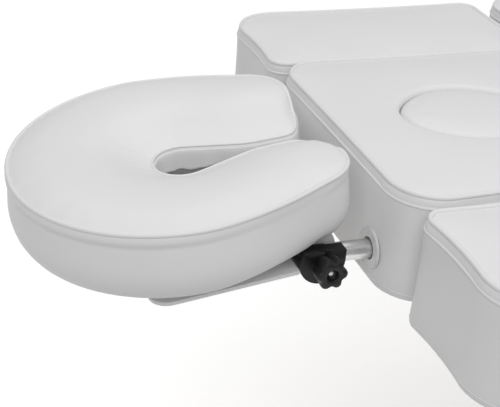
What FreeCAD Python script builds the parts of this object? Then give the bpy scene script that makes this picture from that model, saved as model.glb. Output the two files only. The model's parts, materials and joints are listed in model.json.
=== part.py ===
"""Electric treatment table with a horseshoe face rest, a breathing hole and two pull-out arm rests.

Millimetres. X runs from the head end to the foot end, Y from the near side to the far side and Z up.
The origin is on the floor, in the middle of the length over all. The table is drawn at its lowest height,
lying flat.
"""
import FreeCAD, Part
import Sketcher
import math
import os
import re

from FreeCAD import Placement, Rotation, Vector

doc = FreeCAD.newDocument("treatment_table")

# Driving dimensions
SIZES = {
    "origin_to_head": 780.5,     # frame origin to the head end of the head cushion
    "table_height": 600.0,       # floor to the seam of the lying surface
    "pad_thick": 110.0,
    "pad_crown": 7.0,            # rise of the lying surface above its seam
    "pad_draw": 3.0,             # how far a side is drawn in between its corners
    "pad_edge": 6.0,             # rounding of the pad's top and bottom edges
    "pad_corner": 50.0,
    "joint_corner": 22.0,        # corners where two sections meet
    "head_len": 366.0,
    "head_width": 351.0,
    "shoulder_gap": 8.0,         # head cushion to back cushion
    "table_width": 714.0,
    "back_len": 426.0,
    "joint_gap": 14.0,           # back to seat and seat to leg
    "seat_len": 450.0,
    "leg_len": 622.5,
    "board_thick": 15.0,
    "board_inset": 30.0,
    "soft_gap": 0.3,             # clearance between a pad and a rigid neighbour

    "arm_len": 362.0,
    "arm_width": 180.0,
    "arm_thick": 116.0,
    "arm_drop": 6.0,             # arm-rest seam below the lying surface
    "arm_side_gap": 3.0,
    "arm_near_out": -9.0,        # head end of the near arm rest beyond the head end of the head cushion
    "arm_far_out": 1.0,
    "arm_corner": 62.0,          # outer corner at the head end
    "arm_inner_corner": 22.0,    # corner beside the head cushion
    "arm_board_thick": 12.0,
    "arm_rod_spacing": 90.0,
    "arm_rod_cover": 290.0,      # length of arm rod under the arm board
    "arm_rod_reach": 160.0,      # length of arm rod beyond the arm rest
    "arm_socket_len": 160.0,
    "arm_socket_width": 40.0,
    "arm_socket_wall": 8.0,      # wall below the bore
    "arm_rail_gap": 4.0,         # socket to the shoulder face
    "saddle_len": 25.0,
    "saddle_width": 36.0,
    "saddle_wall": 3.0,

    "hole_centre": 162.0,        # breathing hole from the head end
    "hole_len": 160.0,
    "hole_width": 130.0,
    "hole_end_radius": 50.0,
    "plug_gap": 1.0,
    "plug_sink": 4.0,            # plug top below the seam of the lying surface
    "plug_crown": 6.0,
    "hole_ledge": 14.0,          # board showing round the hole, on which the plug stands

    "rod_dia": 20.0,
    "rod_fit": 0.1,              # diameter clearance of a rod in its socket
    "rod_pitch": 230.0,
    "rod_drop": 81.0,            # rod centre below the lying surface
    "rod_in": 190.0,             # rod length inside the head cushion
    "socket_start": 24.0,
    "socket_len": 190.0,
    "socket_width": 34.0,
    "socket_cover": 6.0,         # wood above the bore
    "eyelet_dia": 43.0,
    "eyelet_thick": 2.5,
    "eyelet_bore": 24.0,
    "eyelet_sleeve": 28.0,

    "hinge_out": 58.0,           # face-rest hinge axis from the head end
    "face_tilt": 7.5,            # head end of the face rest below level, degrees
    "clamp_radius": 24.0,
    "clamp_inner": 104.3,        # inner face of the clamp from the middle
    "clamp_outer": 131.0,
    "boss_radius": 15.5,
    "boss_end": 34.0,            # end of the rod boss from the head end
    "rod_end": 50.0,             # end of the rod inside the clamp, from the head end
    "stud_dia": 8.0,
    "stud_fit": 0.1,
    "knob_radius": 16.5,
    "knob_thick": 20.0,
    "knob_neck": 6.0,            # collar between the clamp and the star
    "knob_neck_radius": 9.0,
    "knob_lobe_cut": 6.5,
    "knob_lobe_place": 20.0,
    "knob_recess_radius": 6.0,
    "knob_recess": 5.0,
    "knob_gap": 0.3,
    "nut_width": 13.0,
    "nut_thick": 6.5,
    "ear_thick": 5.0,
    "ear_gap": 0.3,
    "strip_width": 40.0,
    "strip_thick": 4.0,
    "strip_start": 26.0,         # along the face rest from the hinge axis
    "strip_end": 172.0,
    "strip_out": 135.0,          # outer edge of a strip from the middle
    "screw_radius": 5.0,
    "screw_head": 2.5,
    "screw_end_place": 20.0,
    "screw_pitch": 100.0,

    "face_head": 272.0,          # head end of the face cushion along the rest from the hinge axis
    "face_half": 165.0,
    "face_round": 112.0,         # centre of the head arc
    "face_side_rise": 6.0,       # bow of the side between the head arc and the shoulder
    "face_tip": 44.0,            # arm tips beyond the hinge axis, towards the table
    "face_tip_side": 80.0,
    "face_shoulder": 36.0,       # shoulder of an arm from its tip
    "face_arm_half": 128.0,      # half width at the shoulders
    "slot_mouth": 5.0,           # half width between the arm tips
    "slot_mouth_run": 20.0,      # mouth from the arm tips
    "slot_throat": 6.5,          # half width where the slot starts to widen
    "slot_throat_place": 25.0,   # that place from the hinge axis
    "slot_radius": 29.0,
    "slot_centre": 98.0,
    "slot_dish": 62.0,           # widening of the slot at the top, where the pad is dished
    "face_bottom": 10.0,         # underside of the face cushion above the hinge axis
    "face_seam": 87.0,
    "face_top": 96.0,
    "face_low_inset": 30.0,      # rounding of the underside's edge
    "face_top_inset": 30.0,
    "clamp_relief": 1.5,         # face cushion to the clamps
    "face_board_inset": 40.0,
    "face_board_slot": 6.0,      # slot of the board wider than the cushion's

    "tube_wall": 2.0,
    "tube_round": 4.0,
    "section_tube_width": 30.0,  # frames of the back and leg sections
    "section_tube_height": 25.0,
    "section_rail_pitch": 176.0,
    "cross_inset": 37.0,         # ends of the long cross tubes from the sides of the table
    "arm_cross_reach": 320.0,    # half length of the cross tube that carries the arm rests
    "head_rail_start": 80.0,
    "back_mid_cross": 560.0,     # cross tube of the back frame from the head end
    "leg_mid_cross": 217.0,      # cross tube of the leg frame from the leg's head end

    "main_tube": 40.0,
    "main_rail_pitch": 260.0,

    "hinge_drop": 9.0,           # back hinge axis below the lying surface
    "knuckle_dia": 11.0,
    "hinge_pin_dia": 6.0,
    "hinge_fit": 0.1,
    "knuckle_len": 25.0,
    "leaf_thick": 4.0,
    "leaf_clear": 1.2,           # leaf to the other leaf's knuckles
    "hinge_pitch": 440.0,

    "leg_pivot_drop": 15.0,      # leg hinge axis below the main frame
    "leg_lug_radius": 12.0,
    "leg_lug_thick": 10.0,
    "leg_ear_thick": 5.0,
    "leg_pin_dia": 10.0,

    "column_from_seat": 225.0,   # column axis from the head end of the seat cushion
    "column_len": 200.0,
    "column_width": 150.0,
    "column_wall": 6.0,
    "column_step": 10.0,         # wall and glide between two column sections, each side
    "column_corner": 24.0,
    "column_lap": 24.0,          # step between the tops of two column sections
    "glide_thick": 3.8,
    "glide_height": 60.0,
    "glide_width": 60.0,
    "plate_thick": 8.0,
    "plate_len": 210.0,
    "plate_width": 300.0,
    "plate_corner": 18.0,
    "bolt_dia": 10.0,
    "bolt_head_dia": 17.0,
    "bolt_head": 6.5,
    "bolt_len": 24.0,
    "bolt_pitch_len": 176.0,
    "spindle_radius": 16.0,
    "spindle_step": 4.0,
    "spindle_fit": 0.4,
    "motor_radius": 38.0,
    "motor_len": 70.0,
    "motor_shaft": 28.0,

    "base_tube_width": 60.0,
    "base_tube_height": 40.0,
    "base_start": 490.0,         # head end of the base from the head end of the table
    "base_len": 1110.0,
    "base_reach": 320.0,         # half length of the cross feet
    "base_rail_pitch": 220.0,
    "cap_thick": 6.0,
    "foot_height": 25.0,
    "foot_radius": 26.0,
    "foot_pad": 14.0,
    "foot_stem_radius": 6.0,
    "foot_place": 35.0,          # foot axis from the end of a cross foot

    "act_ear_thick": 5.0,
    "act_ear_gap": 22.0,
    "act_ear_width": 30.0,
    "act_eye_thick": 21.0,
    "act_eye_radius": 14.0,
    "act_pin_dia": 10.0,
    "act_tube_radius": 24.0,
    "act_neck": 60.0,
    "act_neck_height": 24.0,
    "act_rod_radius": 10.0,
    "act_rod_fit": 0.1,
    "act_motor_radius": 22.0,
    "act_motor_start": 10.0,     # motor from the neck of the actuator
    "act_motor_len": 120.0,
    "act_motor_drop": 48.0,
    "act_pin_head_radius": 9.0,
    "act_pin_head": 3.0,

    "back_act_x": 91.0,          # back actuator pivot from the head end of the seat cushion
    "back_act_z": 270.0,
    "back_act_tube": 300.0,
    "back_act_rod_start": 44.0,
    "back_lug_drop": 70.0,       # rod pivot below the back frame
    "leg_act_x": 351.0,
    "leg_act_z": 320.0,
    "leg_act_tube": 262.0,
    "leg_act_rod_start": 112.0,
    "leg_lug_drop": 50.0,
    "act_bore_start": 40.0,

    "box_len": 160.0,
    "box_width": 110.0,
    "box_height": 50.0,
    "box_corner": 10.0,
    "box_place": 245.0,          # control box axis from the middle of the table
}

sheet = doc.addObject("Spreadsheet::Sheet", "Sizes")
for row, (alias, value) in enumerate(SIZES.items(), start=1):
    sheet.set(f"A{row}", str(value))
    sheet.setAlias(f"A{row}", alias)
doc.recompute()

probe = doc.addObject("App::FeaturePython", "Probe")
probe.addProperty("App::PropertyFloat", "Result")

NAME = re.compile(r"\b[a-z][a-z_]*[a-z]\b(?!\()")
X_AXIS = Vector(1, 0, 0)
Y_AXIS = Vector(0, 1, 0)
Z_AXIS = Vector(0, 0, 1)

# Places that several pieces share, as expressions of the sheet's names
HEAD = "(0 - origin_to_head)"
BACK = f"({HEAD} + head_len + shoulder_gap)"
BACK_END = f"({BACK} + back_len)"
SEAT = f"({BACK_END} + joint_gap)"
SEAT_END = f"({SEAT} + seat_len)"
LEG = f"({SEAT_END} + joint_gap)"
LEG_END = f"({LEG} + leg_len)"
PAD_BOTTOM = "(table_height - pad_thick)"
BOARD_BOTTOM = f"({PAD_BOTTOM} - board_thick)"
SECTION_BOTTOM = f"({BOARD_BOTTOM} - section_tube_height)"
MAIN_BOTTOM = f"({BOARD_BOTTOM} - main_tube)"
RAIL_SIDE = "(section_rail_pitch / 2)"
MAIN_SIDE = "(main_rail_pitch / 2)"
BASE_SIDE = "(base_rail_pitch / 2)"
CROSS_REACH = "(table_width / 2 - cross_inset)"
BACK_CROSS = f"({HEAD} + back_mid_cross)"
LEG_CROSS = f"({LEG} + leg_mid_cross)"
COLUMN = f"({SEAT} + column_from_seat)"
BASE_TOP = "(foot_height + base_tube_height)"
COLUMN_BOTTOM = f"({BASE_TOP} + plate_thick)"
COLUMN_TOP = f"({MAIN_BOTTOM} - plate_thick)"
SPINDLE_LEN = f"({COLUMN_TOP} - motor_len - motor_shaft - {COLUMN_BOTTOM} - 2 * plate_thick)"
ROD_Z = "(table_height - rod_drop)"
ROD_SIDE = "(rod_pitch / 2)"
FACE_X = f"({HEAD} - hinge_out)"
HINGE_X = f"({BACK_END} + joint_gap / 2)"
HINGE_Z = "(table_height - hinge_drop)"
LEG_PIVOT_X = f"({SEAT_END} + joint_gap / 2)"
LEG_PIVOT_Z = f"({MAIN_BOTTOM} - leg_pivot_drop)"
ARM_TOP = "(table_height - arm_drop)"
ARM_BOTTOM = f"({ARM_TOP} - arm_thick)"
ARM_ROD_Z = f"({ARM_BOTTOM} - arm_board_thick - rod_dia / 2)"
ARM_SIDE = "(head_width / 2 + arm_side_gap + arm_width / 2)"
BACK_ACT_X = f"({SEAT} + back_act_x)"
BACK_LUG_X = f"({BACK_CROSS} + section_tube_width / 2)"
BACK_LUG_Z = f"({SECTION_BOTTOM} - back_lug_drop)"
LEG_ACT_X = f"({SEAT} + leg_act_x)"
LEG_LUG_X = f"({LEG_CROSS} + section_tube_width / 2)"
LEG_LUG_Z = f"({SECTION_BOTTOM} - leg_lug_drop)"

# Shares that shape the face cushion's outline
SLOT_LEAD = 0.36
TIP_BOW = 0.2
MOUTH_BOW = 0.12
# Face cushion from its underside to its seam: share of the height, of the low inset and of the slot's dish
FACE_SIDE = [
    (0.0, 1.0, 0.08), (0.04, 0.6, 0.06), (0.13, 0.28, 0.03), (0.29, 0.06, 0.01), (0.45, 0.0, 0.0),
    (0.72, 0.0, 0.0), (0.755, 0.0, 0.02), (0.78, 0.0, 0.06), (0.83, 0.0, 0.2), (0.9, 0.0, 0.38),
    (1.0, 0.0, 0.6),
]
# And from its seam to its top: share of the height, of the top inset and of the slot's dish
FACE_CROWN = [(0.4, 0.13, 0.71), (0.78, 0.43, 0.84), (1.0, 1.0, 1.0)]

nodes = {}


def bound(text):
    """Expression text with every size name looked up in the sheet."""
    return NAME.sub(lambda found: "Sizes." + found.group(0), text)


def value(text):
    """The number that an expression of the sheet's names has now."""
    probe.setExpression("Result", bound(text))
    probe.recompute()
    return probe.Result


def place(obj, x, y, z, axis=None, angle=0.0):
    """Turn an object about an axis and bind its place to the sheet."""
    if axis is not None:
        obj.Placement = Placement(Vector(), Rotation(axis, angle))
    for letter, text in zip("xyz", (x, y, z)):
        obj.setExpression(f"Placement.Base.{letter}", bound(text))
    return obj


def box(name, size, corner):
    """Box of bound size with its low corner at a bound place."""
    obj = doc.addObject("Part::Box", name)
    for prop, text in zip(("Length", "Width", "Height"), size):
        obj.setExpression(prop, bound(text))
    return place(obj, *corner)


def cylinder(name, radius, length, start, axis=Z_AXIS):
    """Cylinder of bound size that runs from its start along an axis."""
    obj = doc.addObject("Part::Cylinder", name)
    obj.setExpression("Radius", bound(radius))
    obj.setExpression("Height", bound(length))
    turn = {"X": (Y_AXIS, 90), "Y": (X_AXIS, -90), "Z": (None, 0)}
    letter = "X" if axis == X_AXIS else "Y" if axis == Y_AXIS else "Z"
    return place(obj, *start, *turn[letter])


def fuse(name, *parts):
    obj = doc.addObject("Part::MultiFuse", name)
    obj.Shapes = list(parts)
    obj.Refine = True
    return obj


def cut(name, base, *tools):
    obj = doc.addObject("Part::Cut", name)
    obj.Base = base
    obj.Tool = tools[0] if len(tools) == 1 else fuse(name + "_tools", *tools)
    return obj


def group(name, *parts):
    obj = doc.addObject("Part::Compound", name)
    obj.Links = list(parts)
    return obj


def mirrored(name, source):
    """The same piece on the other side of the table."""
    obj = doc.addObject("Part::Mirroring", name)
    obj.Source = source
    obj.Normal = Y_AXIS
    return obj


def both_sides(name, source):
    return group(name, source, mirrored(name + "_other", source))


def node(name, obj):
    """Name a finished piece."""
    obj.Label = name
    nodes[name] = obj
    return obj


def shaped(name, shape, spot=None):
    """Piece whose form is lofted from wires."""
    obj = doc.addObject("Part::Feature", name)
    obj.Shape = shape
    if spot is not None:
        obj.Placement = spot
    return obj


def tube(name, size, corner, along):
    """Rectangular steel tube with rounded long edges, open at both ends."""
    outer = box(name + "_outer", size, corner)
    wall = "tube_wall"
    inner_size = [text if letter == along else f"{text} - 2 * {wall}" for letter, text in zip("XYZ", size)]
    inner_corner = [text if letter == along else f"{text} + {wall}" for letter, text in zip("XYZ", corner)]
    inner = box(name + "_inner", inner_size, inner_corner)
    rounded = doc.addObject("Part::Fillet", name + "_rounded")
    rounded.Base = outer
    doc.recompute()
    radius = value("tube_round")
    direction = {"X": X_AXIS, "Y": Y_AXIS}[along]
    long_edges = [
        number for number, edge in enumerate(outer.Shape.Edges, start=1)
        if abs(edge.tangentAt(edge.FirstParameter).dot(direction)) > 0.99
    ]
    rounded.Edges = [(number, radius, radius) for number in long_edges]
    return cut(name, rounded, inner)


def bulged_wire(points, bulges, height):
    """Closed wire through points, each stretch a line or an arc of the given rise at its middle."""
    edges = []
    for index, (start, bulge) in enumerate(zip(points, bulges)):
        end = points[(index + 1) % len(points)]
        first = Vector(start[0], start[1], height)
        last = Vector(end[0], end[1], height)
        if abs(bulge) < 1e-6:
            edges.append(Part.LineSegment(first, last).toShape())
            continue
        run = last - first
        side = Vector(run.y, -run.x, 0).normalize()
        middle = (first + last) * 0.5 + side * bulge
        edges.append(Part.Arc(first, middle, last).toShape())
    return Part.Wire(edges)


def pad_wire(length, width, corners, draw, inset, height):
    """Outline of a pad: sides drawn in between rounded corners, near and far at low X, then at high X."""
    near, far, high = corners
    half = width / 2 - inset
    start, end = inset, length - inset
    near, far, last = (max(corner - inset, 2.0) for corner in (near, far, high))
    points = [
        (start + near, -half), (end - last, -half), (end, -half + last), (end, half - last),
        (end - last, half), (start + far, half), (start, half - far), (start, -half + near),
    ]
    rise = 1 - math.sqrt(0.5)
    bulges = [-draw, last * rise, -draw, last * rise, -draw, far * rise, -draw, near * rise]
    return bulged_wire(points, bulges, height)


def pad_solid(length, width, thick, corners):
    """Cushion from its underside up: rounded edges, sides drawn in, crowned top. Its seam is at height 0."""
    edge = value("pad_edge")
    crown = value("pad_crown")
    draw = value("pad_draw")
    levels = [
        (-thick, edge, draw / 2), (edge - thick, 0.0, draw), (-edge, 0.0, draw), (0.0, edge, draw / 2),
        (crown * 0.55, edge * 4, draw / 3), (crown * 0.9, edge * 8, draw / 4), (crown, edge * 12, draw / 4),
    ]
    wires = [pad_wire(length, width, corners, pull, inset, height) for height, inset, pull in levels]
    return Part.makeLoft(wires, True, True)


def pad(name, length, width, thick, corners, start, side, top):
    """Pad placed by the head end, the middle and the height of its seam."""
    shape = pad_solid(value(length), value(width), value(thick), [value(corner) for corner in corners])
    spot = Placement(Vector(value(start), value(side), value(top)), Rotation())
    return shaped(name, shape, spot)


def oval_wire(length, width, end_radius, height):
    """Oval of four tangent arcs, longer along X."""
    reach, half = length / 2, width / 2
    end_place = reach - end_radius
    side_radius = (end_place ** 2 + half ** 2 - end_radius ** 2) / (2 * (half - end_radius))
    direction = Vector(end_place, side_radius - half, 0).normalize()
    touch = Vector(end_place, 0, 0) + direction * end_radius
    corner = (touch.x, touch.y)
    points = [(corner[0], -corner[1]), corner, (-corner[0], corner[1]), (-corner[0], -corner[1])]
    end_rise = reach - corner[0]
    side_rise = half - corner[1]
    return bulged_wire(points, [end_rise, side_rise, end_rise, side_rise], height)


def oval_column(inset, low, high):
    """Upright oval prism of the breathing hole's outline, drawn in by an inset."""
    length = value("hole_len") - 2 * inset
    width = value("hole_width") - 2 * inset
    radius = value("hole_end_radius") - inset
    face = Part.Face(oval_wire(length, width, radius, low))
    return face.extrude(Vector(0, 0, high - low))


def horseshoe_wire(inset, widen, height):
    """Outline of the face cushion: inset of its outside and widening of its slot."""
    head = value("face_head") - inset
    half = value("face_half") - inset
    centre = value("face_round")
    tip = inset - value("face_tip")
    tip_side = value("face_tip_side")
    arm_half = value("face_arm_half") - inset
    shoulder = tip + value("face_shoulder")
    mouth = value("slot_mouth") + widen
    mouth_place = tip + value("slot_mouth_run")
    throat = value("slot_throat") + widen
    radius = value("slot_radius") + widen
    slot = value("slot_centre")
    lead = radius * SLOT_LEAD
    across = math.sqrt(radius ** 2 - lead ** 2)
    upper = [
        (head, 0.0), (centre, half), (shoulder, arm_half), (tip, tip_side), (mouth_place, mouth),
        (value("slot_throat_place"), throat), (slot - lead, across), (slot + radius, 0.0),
    ]
    quarter = math.hypot(head - centre, half) / 2 * math.tan(math.pi / 8)
    tip_out = math.hypot(shoulder - tip, arm_half - tip_side) * TIP_BOW
    tip_in = math.hypot(mouth_place - tip, tip_side - mouth) * MOUTH_BOW
    slot_turn = math.pi - math.atan2(across, lead)
    slot_rise = radius * (1 - math.cos(slot_turn / 2))
    bulges = [quarter, value("face_side_rise"), tip_out, tip_in, 0.0, 0.0, -slot_rise]
    lower = [(u, -v) for u, v in reversed(upper[1:-1])]
    points = [(-u, -v) for u, v in upper + lower]
    return bulged_wire(points, bulges + bulges[::-1], height)


def base_pieces():
    """Cross feet, rails, end caps and levelling feet."""
    width, height = "base_tube_width", "base_tube_height"
    head_foot = f"({HEAD} + base_start)"
    tail_foot = f"({head_foot} + base_len - {width})"
    feet = []
    caps = []
    levellers = []
    for label, x in (("head", head_foot), ("foot", tail_foot)):
        low = "foot_height"
        foot = tube(f"cross_{label}", (width, "2 * base_reach", height), (x, "0 - base_reach", low), "Y")
        axis_x = f"{x} + {width} / 2"
        for side, sign in (("near", "0 - "), ("far", "0 + ")):
            y = f"({sign}(base_reach - foot_place))"
            hole = cylinder(f"stem_hole_{label}_{side}", "foot_stem_radius + stud_fit", "tube_wall * 3",
                            (axis_x, y, f"{low} - tube_wall"))
            foot = cut(f"cross_{label}_{side}", foot, hole)
            pad_disc = cylinder(f"foot_disc_{label}_{side}", "foot_radius", "foot_pad / 2", (axis_x, y, "0"))
            dome = doc.addObject("Part::Cone", f"foot_dome_{label}_{side}")
            dome.setExpression("Radius1", bound("foot_radius"))
            dome.setExpression("Radius2", bound("foot_radius * 0.45"))
            dome.setExpression("Height", bound("foot_pad / 2"))
            place(dome, axis_x, y, "foot_pad / 2")
            collar = cylinder(f"foot_nut_{label}_{side}", "foot_stem_radius * 1.7", "foot_height - foot_pad",
                              (axis_x, y, "foot_pad"))
            stem = cylinder(f"foot_stem_{label}_{side}", "foot_stem_radius", "foot_height",
                            (axis_x, y, "foot_pad"))
            levellers.append(fuse(f"leveller_{label}_{side}", pad_disc, dome, collar, stem))
            end = "0 - base_reach - cap_thick" if side == "near" else "base_reach"
            plug_y = "0 - base_reach" if side == "near" else "base_reach - cap_thick * 2"
            face = box(f"cap_face_{label}_{side}", (width, "cap_thick", height), (x, end, low))
            inside = "tube_wall + soft_gap"
            plug = box(f"cap_plug_{label}_{side}",
                       (f"{width} - 2 * ({inside})", "cap_thick * 2", f"{height} - 2 * ({inside})"),
                       (f"{x} + {inside}", plug_y, f"{low} + {inside}"))
            caps.append(fuse(f"cap_{label}_{side}", face, plug))
        feet.append(foot)
    rail = tube("base_rail_far", (f"base_len - 2 * {width}", width, height),
                (f"{head_foot} + {width}", f"{BASE_SIDE} - {width} / 2", "foot_height"), "X")
    rail = bolt_holes("base_rail_drilled", rail, BASE_SIDE, f"{BASE_TOP} - tube_wall - 1", f"{BASE_TOP} + 1")
    node("base_cross_feet", group("base_cross_feet", *feet))
    node("base_rails", both_sides("base_rails", rail))
    node("base_end_caps", group("base_end_caps", *caps))
    node("levelling_feet", group("levelling_feet", *levellers))


def rounded_prism(name, length, width, height, corner, spot):
    """Upright prism with rounded corners, drawn as a sketch and padded."""
    body = doc.addObject("PartDesign::Body", name)
    sketch = body.newObject("Sketcher::SketchObject", name + "_outline")
    sketch.AttachmentSupport = [(origin_plane(body, "XY_Plane"), "")]
    sketch.MapMode = "FlatFace"
    add_rounded_rectangle(sketch, length, width, corner)
    padded = body.newObject("PartDesign::Pad", name + "_pad")
    padded.Profile = sketch
    padded.setExpression("Length", bound(height))
    place(body, *spot)
    return body


def origin_plane(body, role):
    return next(feature for feature in body.Origin.OriginFeatures if feature.Role == role)


def add_rounded_rectangle(sketch, length, width, corner):
    """Rectangle with round corners about the sketch's origin, held by constraints bound to the sheet."""
    half_length, half_width, radius = value(length) / 2, value(width) / 2, value(corner)
    flat_x, flat_y = half_length - radius, half_width - radius
    lines = [
        ((-flat_x, -half_width), (flat_x, -half_width)), ((half_length, -flat_y), (half_length, flat_y)),
        ((flat_x, half_width), (-flat_x, half_width)), ((-half_length, flat_y), (-half_length, -flat_y)),
    ]
    for start, end in lines:
        sketch.addGeometry(Part.LineSegment(Vector(*start, 0), Vector(*end, 0)))
    quarter = math.pi / 2
    centres = [(flat_x, -flat_y), (flat_x, flat_y), (-flat_x, flat_y), (-flat_x, -flat_y)]
    for index, centre in enumerate(centres):
        circle = Part.Circle(Vector(*centre, 0), Z_AXIS, radius)
        start = -quarter + index * quarter
        sketch.addGeometry(Part.ArcOfCircle(circle, start, start + quarter))
    for index in range(4):
        arc = 4 + index
        sketch.addConstraint(Sketcher.Constraint("Tangent", index, 2, arc, 1))
        sketch.addConstraint(Sketcher.Constraint("Tangent", arc, 2, (index + 1) % 4, 1))
    for index in (0, 2):
        sketch.addConstraint(Sketcher.Constraint("Horizontal", index))
    for index in (1, 3):
        sketch.addConstraint(Sketcher.Constraint("Vertical", index))
    for arc in (5, 6, 7):
        sketch.addConstraint(Sketcher.Constraint("Equal", 4, arc))
    sketch.addConstraint(Sketcher.Constraint("Symmetric", 4, 3, 6, 3, -1, 1))
    sizes = [
        (Sketcher.Constraint("Radius", 4, radius), corner),
        (Sketcher.Constraint("DistanceX", 6, 3, 5, 3, 2 * flat_x), f"{length} - 2 * {corner}"),
        (Sketcher.Constraint("DistanceY", 4, 3, 5, 3, 2 * flat_y), f"{width} - 2 * {corner}"),
    ]
    for constraint, text in sizes:
        number = sketch.addConstraint(constraint)
        sketch.setExpression(f"Constraints[{number}]", bound(text))


def column_section(name, step, bottom, top):
    """Hollow rounded section of the lifting column, smaller by some steps on each side."""
    length = f"(column_len - 2 * {step} * column_step)"
    width = f"(column_width - 2 * {step} * column_step)"
    corner = f"(column_corner - {step} * column_step / 2)"
    height = f"({top} - {bottom})"
    outer = rounded_prism(name + "_outer", length, width, height, corner, (COLUMN, "0", bottom))
    inner = rounded_prism(name + "_inner", f"({length} - 2 * column_wall)", f"({width} - 2 * column_wall)",
                          f"({height} + 2)", f"({corner} - column_wall / 2)", (COLUMN, "0", f"{bottom} - 1"))
    return cut(name, outer, inner)


def glide_pads(name, step, top):
    """Four slide pads on the inside of a column section, at its top."""
    long_half = f"(column_len / 2 - {step} * column_step - column_wall)"
    wide_half = f"(column_width / 2 - {step} * column_step - column_wall)"
    low = f"({top} - glide_height)"
    end = box(name + "_foot", ("glide_thick", "glide_width", "glide_height"),
              (f"{COLUMN} + {long_half} - glide_thick", "0 - glide_width / 2", low))
    head = box(name + "_head", ("glide_thick", "glide_width", "glide_height"),
               (f"{COLUMN} - {long_half}", "0 - glide_width / 2", low))
    side = box(name + "_side", ("glide_width", "glide_thick", "glide_height"),
               (f"{COLUMN} - glide_width / 2", f"{wide_half} - glide_thick", low))
    return group(name, end, head, side, mirrored(name + "_side_other", side))


def bolt_group(name, side, seat_z, up):
    """Four hexagon bolts at the corners of a column plate, heads below or above it."""
    head_low = f"{seat_z} - bolt_head" if up else seat_z
    stem_low = seat_z if up else f"{seat_z} - bolt_len"
    bolts = []
    for label, sign in (("head", "-"), ("foot", "+")):
        x = f"{COLUMN} {sign} bolt_pitch_len / 2"
        head = doc.addObject("Part::Prism", f"{name}_{label}_head")
        head.Polygon = 6
        head.setExpression("Circumradius", bound("bolt_head_dia / 2"))
        head.setExpression("Height", bound("bolt_head"))
        place(head, x, side, head_low)
        stem = cylinder(f"{name}_{label}_stem", "bolt_dia / 2", "bolt_len", (x, side, stem_low))
        bolt = fuse(f"{name}_{label}", head, stem)
        bolts += [bolt, mirrored(f"{name}_{label}_other", bolt)]
    return group(name, *bolts)


def bolt_holes(name, base, side, low, high):
    """Cut the four bolt holes of a column plate through a pair of far-side pieces or a plate."""
    tools = []
    for label, sign in (("head", "-"), ("foot", "+")):
        x = f"{COLUMN} {sign} bolt_pitch_len / 2"
        hole = cylinder(f"{name}_{label}_hole", "bolt_dia / 2 + stud_fit", f"{high} - ({low})",
                        (x, side, low))
        tools.append(hole)
    return cut(name, base, *tools)


def lifting_column():
    """Three telescoping sections with glides, screw spindle, motor and end plates."""
    tops = [f"({COLUMN_TOP} - {2 - step} * column_lap)" for step in range(3)]
    bottoms = [f"({COLUMN_BOTTOM} + {step} * plate_thick)" for step in range(3)]
    node("column_outer", column_section("column_outer", 0, bottoms[0], tops[0]))
    node("column_middle", column_section("column_middle", 1, bottoms[1], tops[1]))
    node("column_inner", column_section("column_inner", 2, bottoms[2], tops[2]))
    node("column_glides_lower", glide_pads("column_glides_lower", 0, tops[0]))
    node("column_glides_upper", glide_pads("column_glides_upper", 1, tops[1]))
    screw_spindle()
    base_plate = rounded_prism("base_plate_blank", "plate_len", "plate_width", "plate_thick", "plate_corner",
                               (COLUMN, "0", BASE_TOP))
    drilled = bolt_holes("base_plate_far", base_plate, BASE_SIDE, f"{BASE_TOP} - 1", f"{COLUMN_BOTTOM} + 1")
    node("column_base_plate", bolt_holes("column_base_plate", drilled, f"0 - {BASE_SIDE}",
                                         f"{BASE_TOP} - 1", f"{COLUMN_BOTTOM} + 1"))
    node("column_base_bolts", bolt_group("column_base_bolts", BASE_SIDE, COLUMN_BOTTOM, False))
    top_plate = rounded_prism("top_plate_blank", "plate_len", "plate_width", "plate_thick", "plate_corner",
                              (COLUMN, "0", COLUMN_TOP))
    drilled = bolt_holes("top_plate_far", top_plate, MAIN_SIDE, f"{COLUMN_TOP} - 1", f"{MAIN_BOTTOM} + 1")
    node("column_top_plate", bolt_holes("column_top_plate", drilled, f"0 - {MAIN_SIDE}",
                                        f"{COLUMN_TOP} - 1", f"{MAIN_BOTTOM} + 1"))
    node("column_top_bolts", bolt_group("column_top_bolts", MAIN_SIDE, COLUMN_TOP, True))


def screw_spindle():
    """Telescoping screw: a rod on the base, a tube on the middle section and a tube under the motor."""
    lows = [f"({COLUMN_BOTTOM} + {step} * plate_thick)" for step in range(3)]
    radii = [f"(spindle_radius - {2 - step} * spindle_step)" for step in range(3)]
    bars = [
        cylinder(f"spindle_bar_{step}", radii[step], SPINDLE_LEN, (COLUMN, "0", lows[step]))
        for step in range(3)
    ]
    bores = [
        cylinder(f"spindle_bore_{step}", f"{radii[step - 1]} + spindle_fit", f"{SPINDLE_LEN} + 2",
                 (COLUMN, "0", f"{lows[step]} - 1")) for step in (1, 2)
    ]
    node("spindle_lower", bars[0])
    span = "(column_len - 2 * column_step - 2 * column_wall)"
    bridge = box("spindle_bridge", (span, "glide_width / 2", "plate_thick / 2"),
                 (f"{COLUMN} - {span} / 2", "0 - glide_width / 4", lows[1]))
    node("spindle_middle", cut("spindle_middle", fuse("spindle_middle_blank", bars[1], bridge), bores[0]))
    motor_low = f"({COLUMN_TOP} - motor_len)"
    motor = cylinder("motor_can", "motor_radius", "motor_len", (COLUMN, "0", motor_low))
    shaft = cylinder("motor_shaft_bar", radii[2], "motor_shaft", (COLUMN, "0", f"{motor_low} - motor_shaft"))
    sleeve = cut("spindle_upper", bars[2], bores[1])
    node("lift_motor", fuse("lift_motor", sleeve, shaft, motor))


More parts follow.
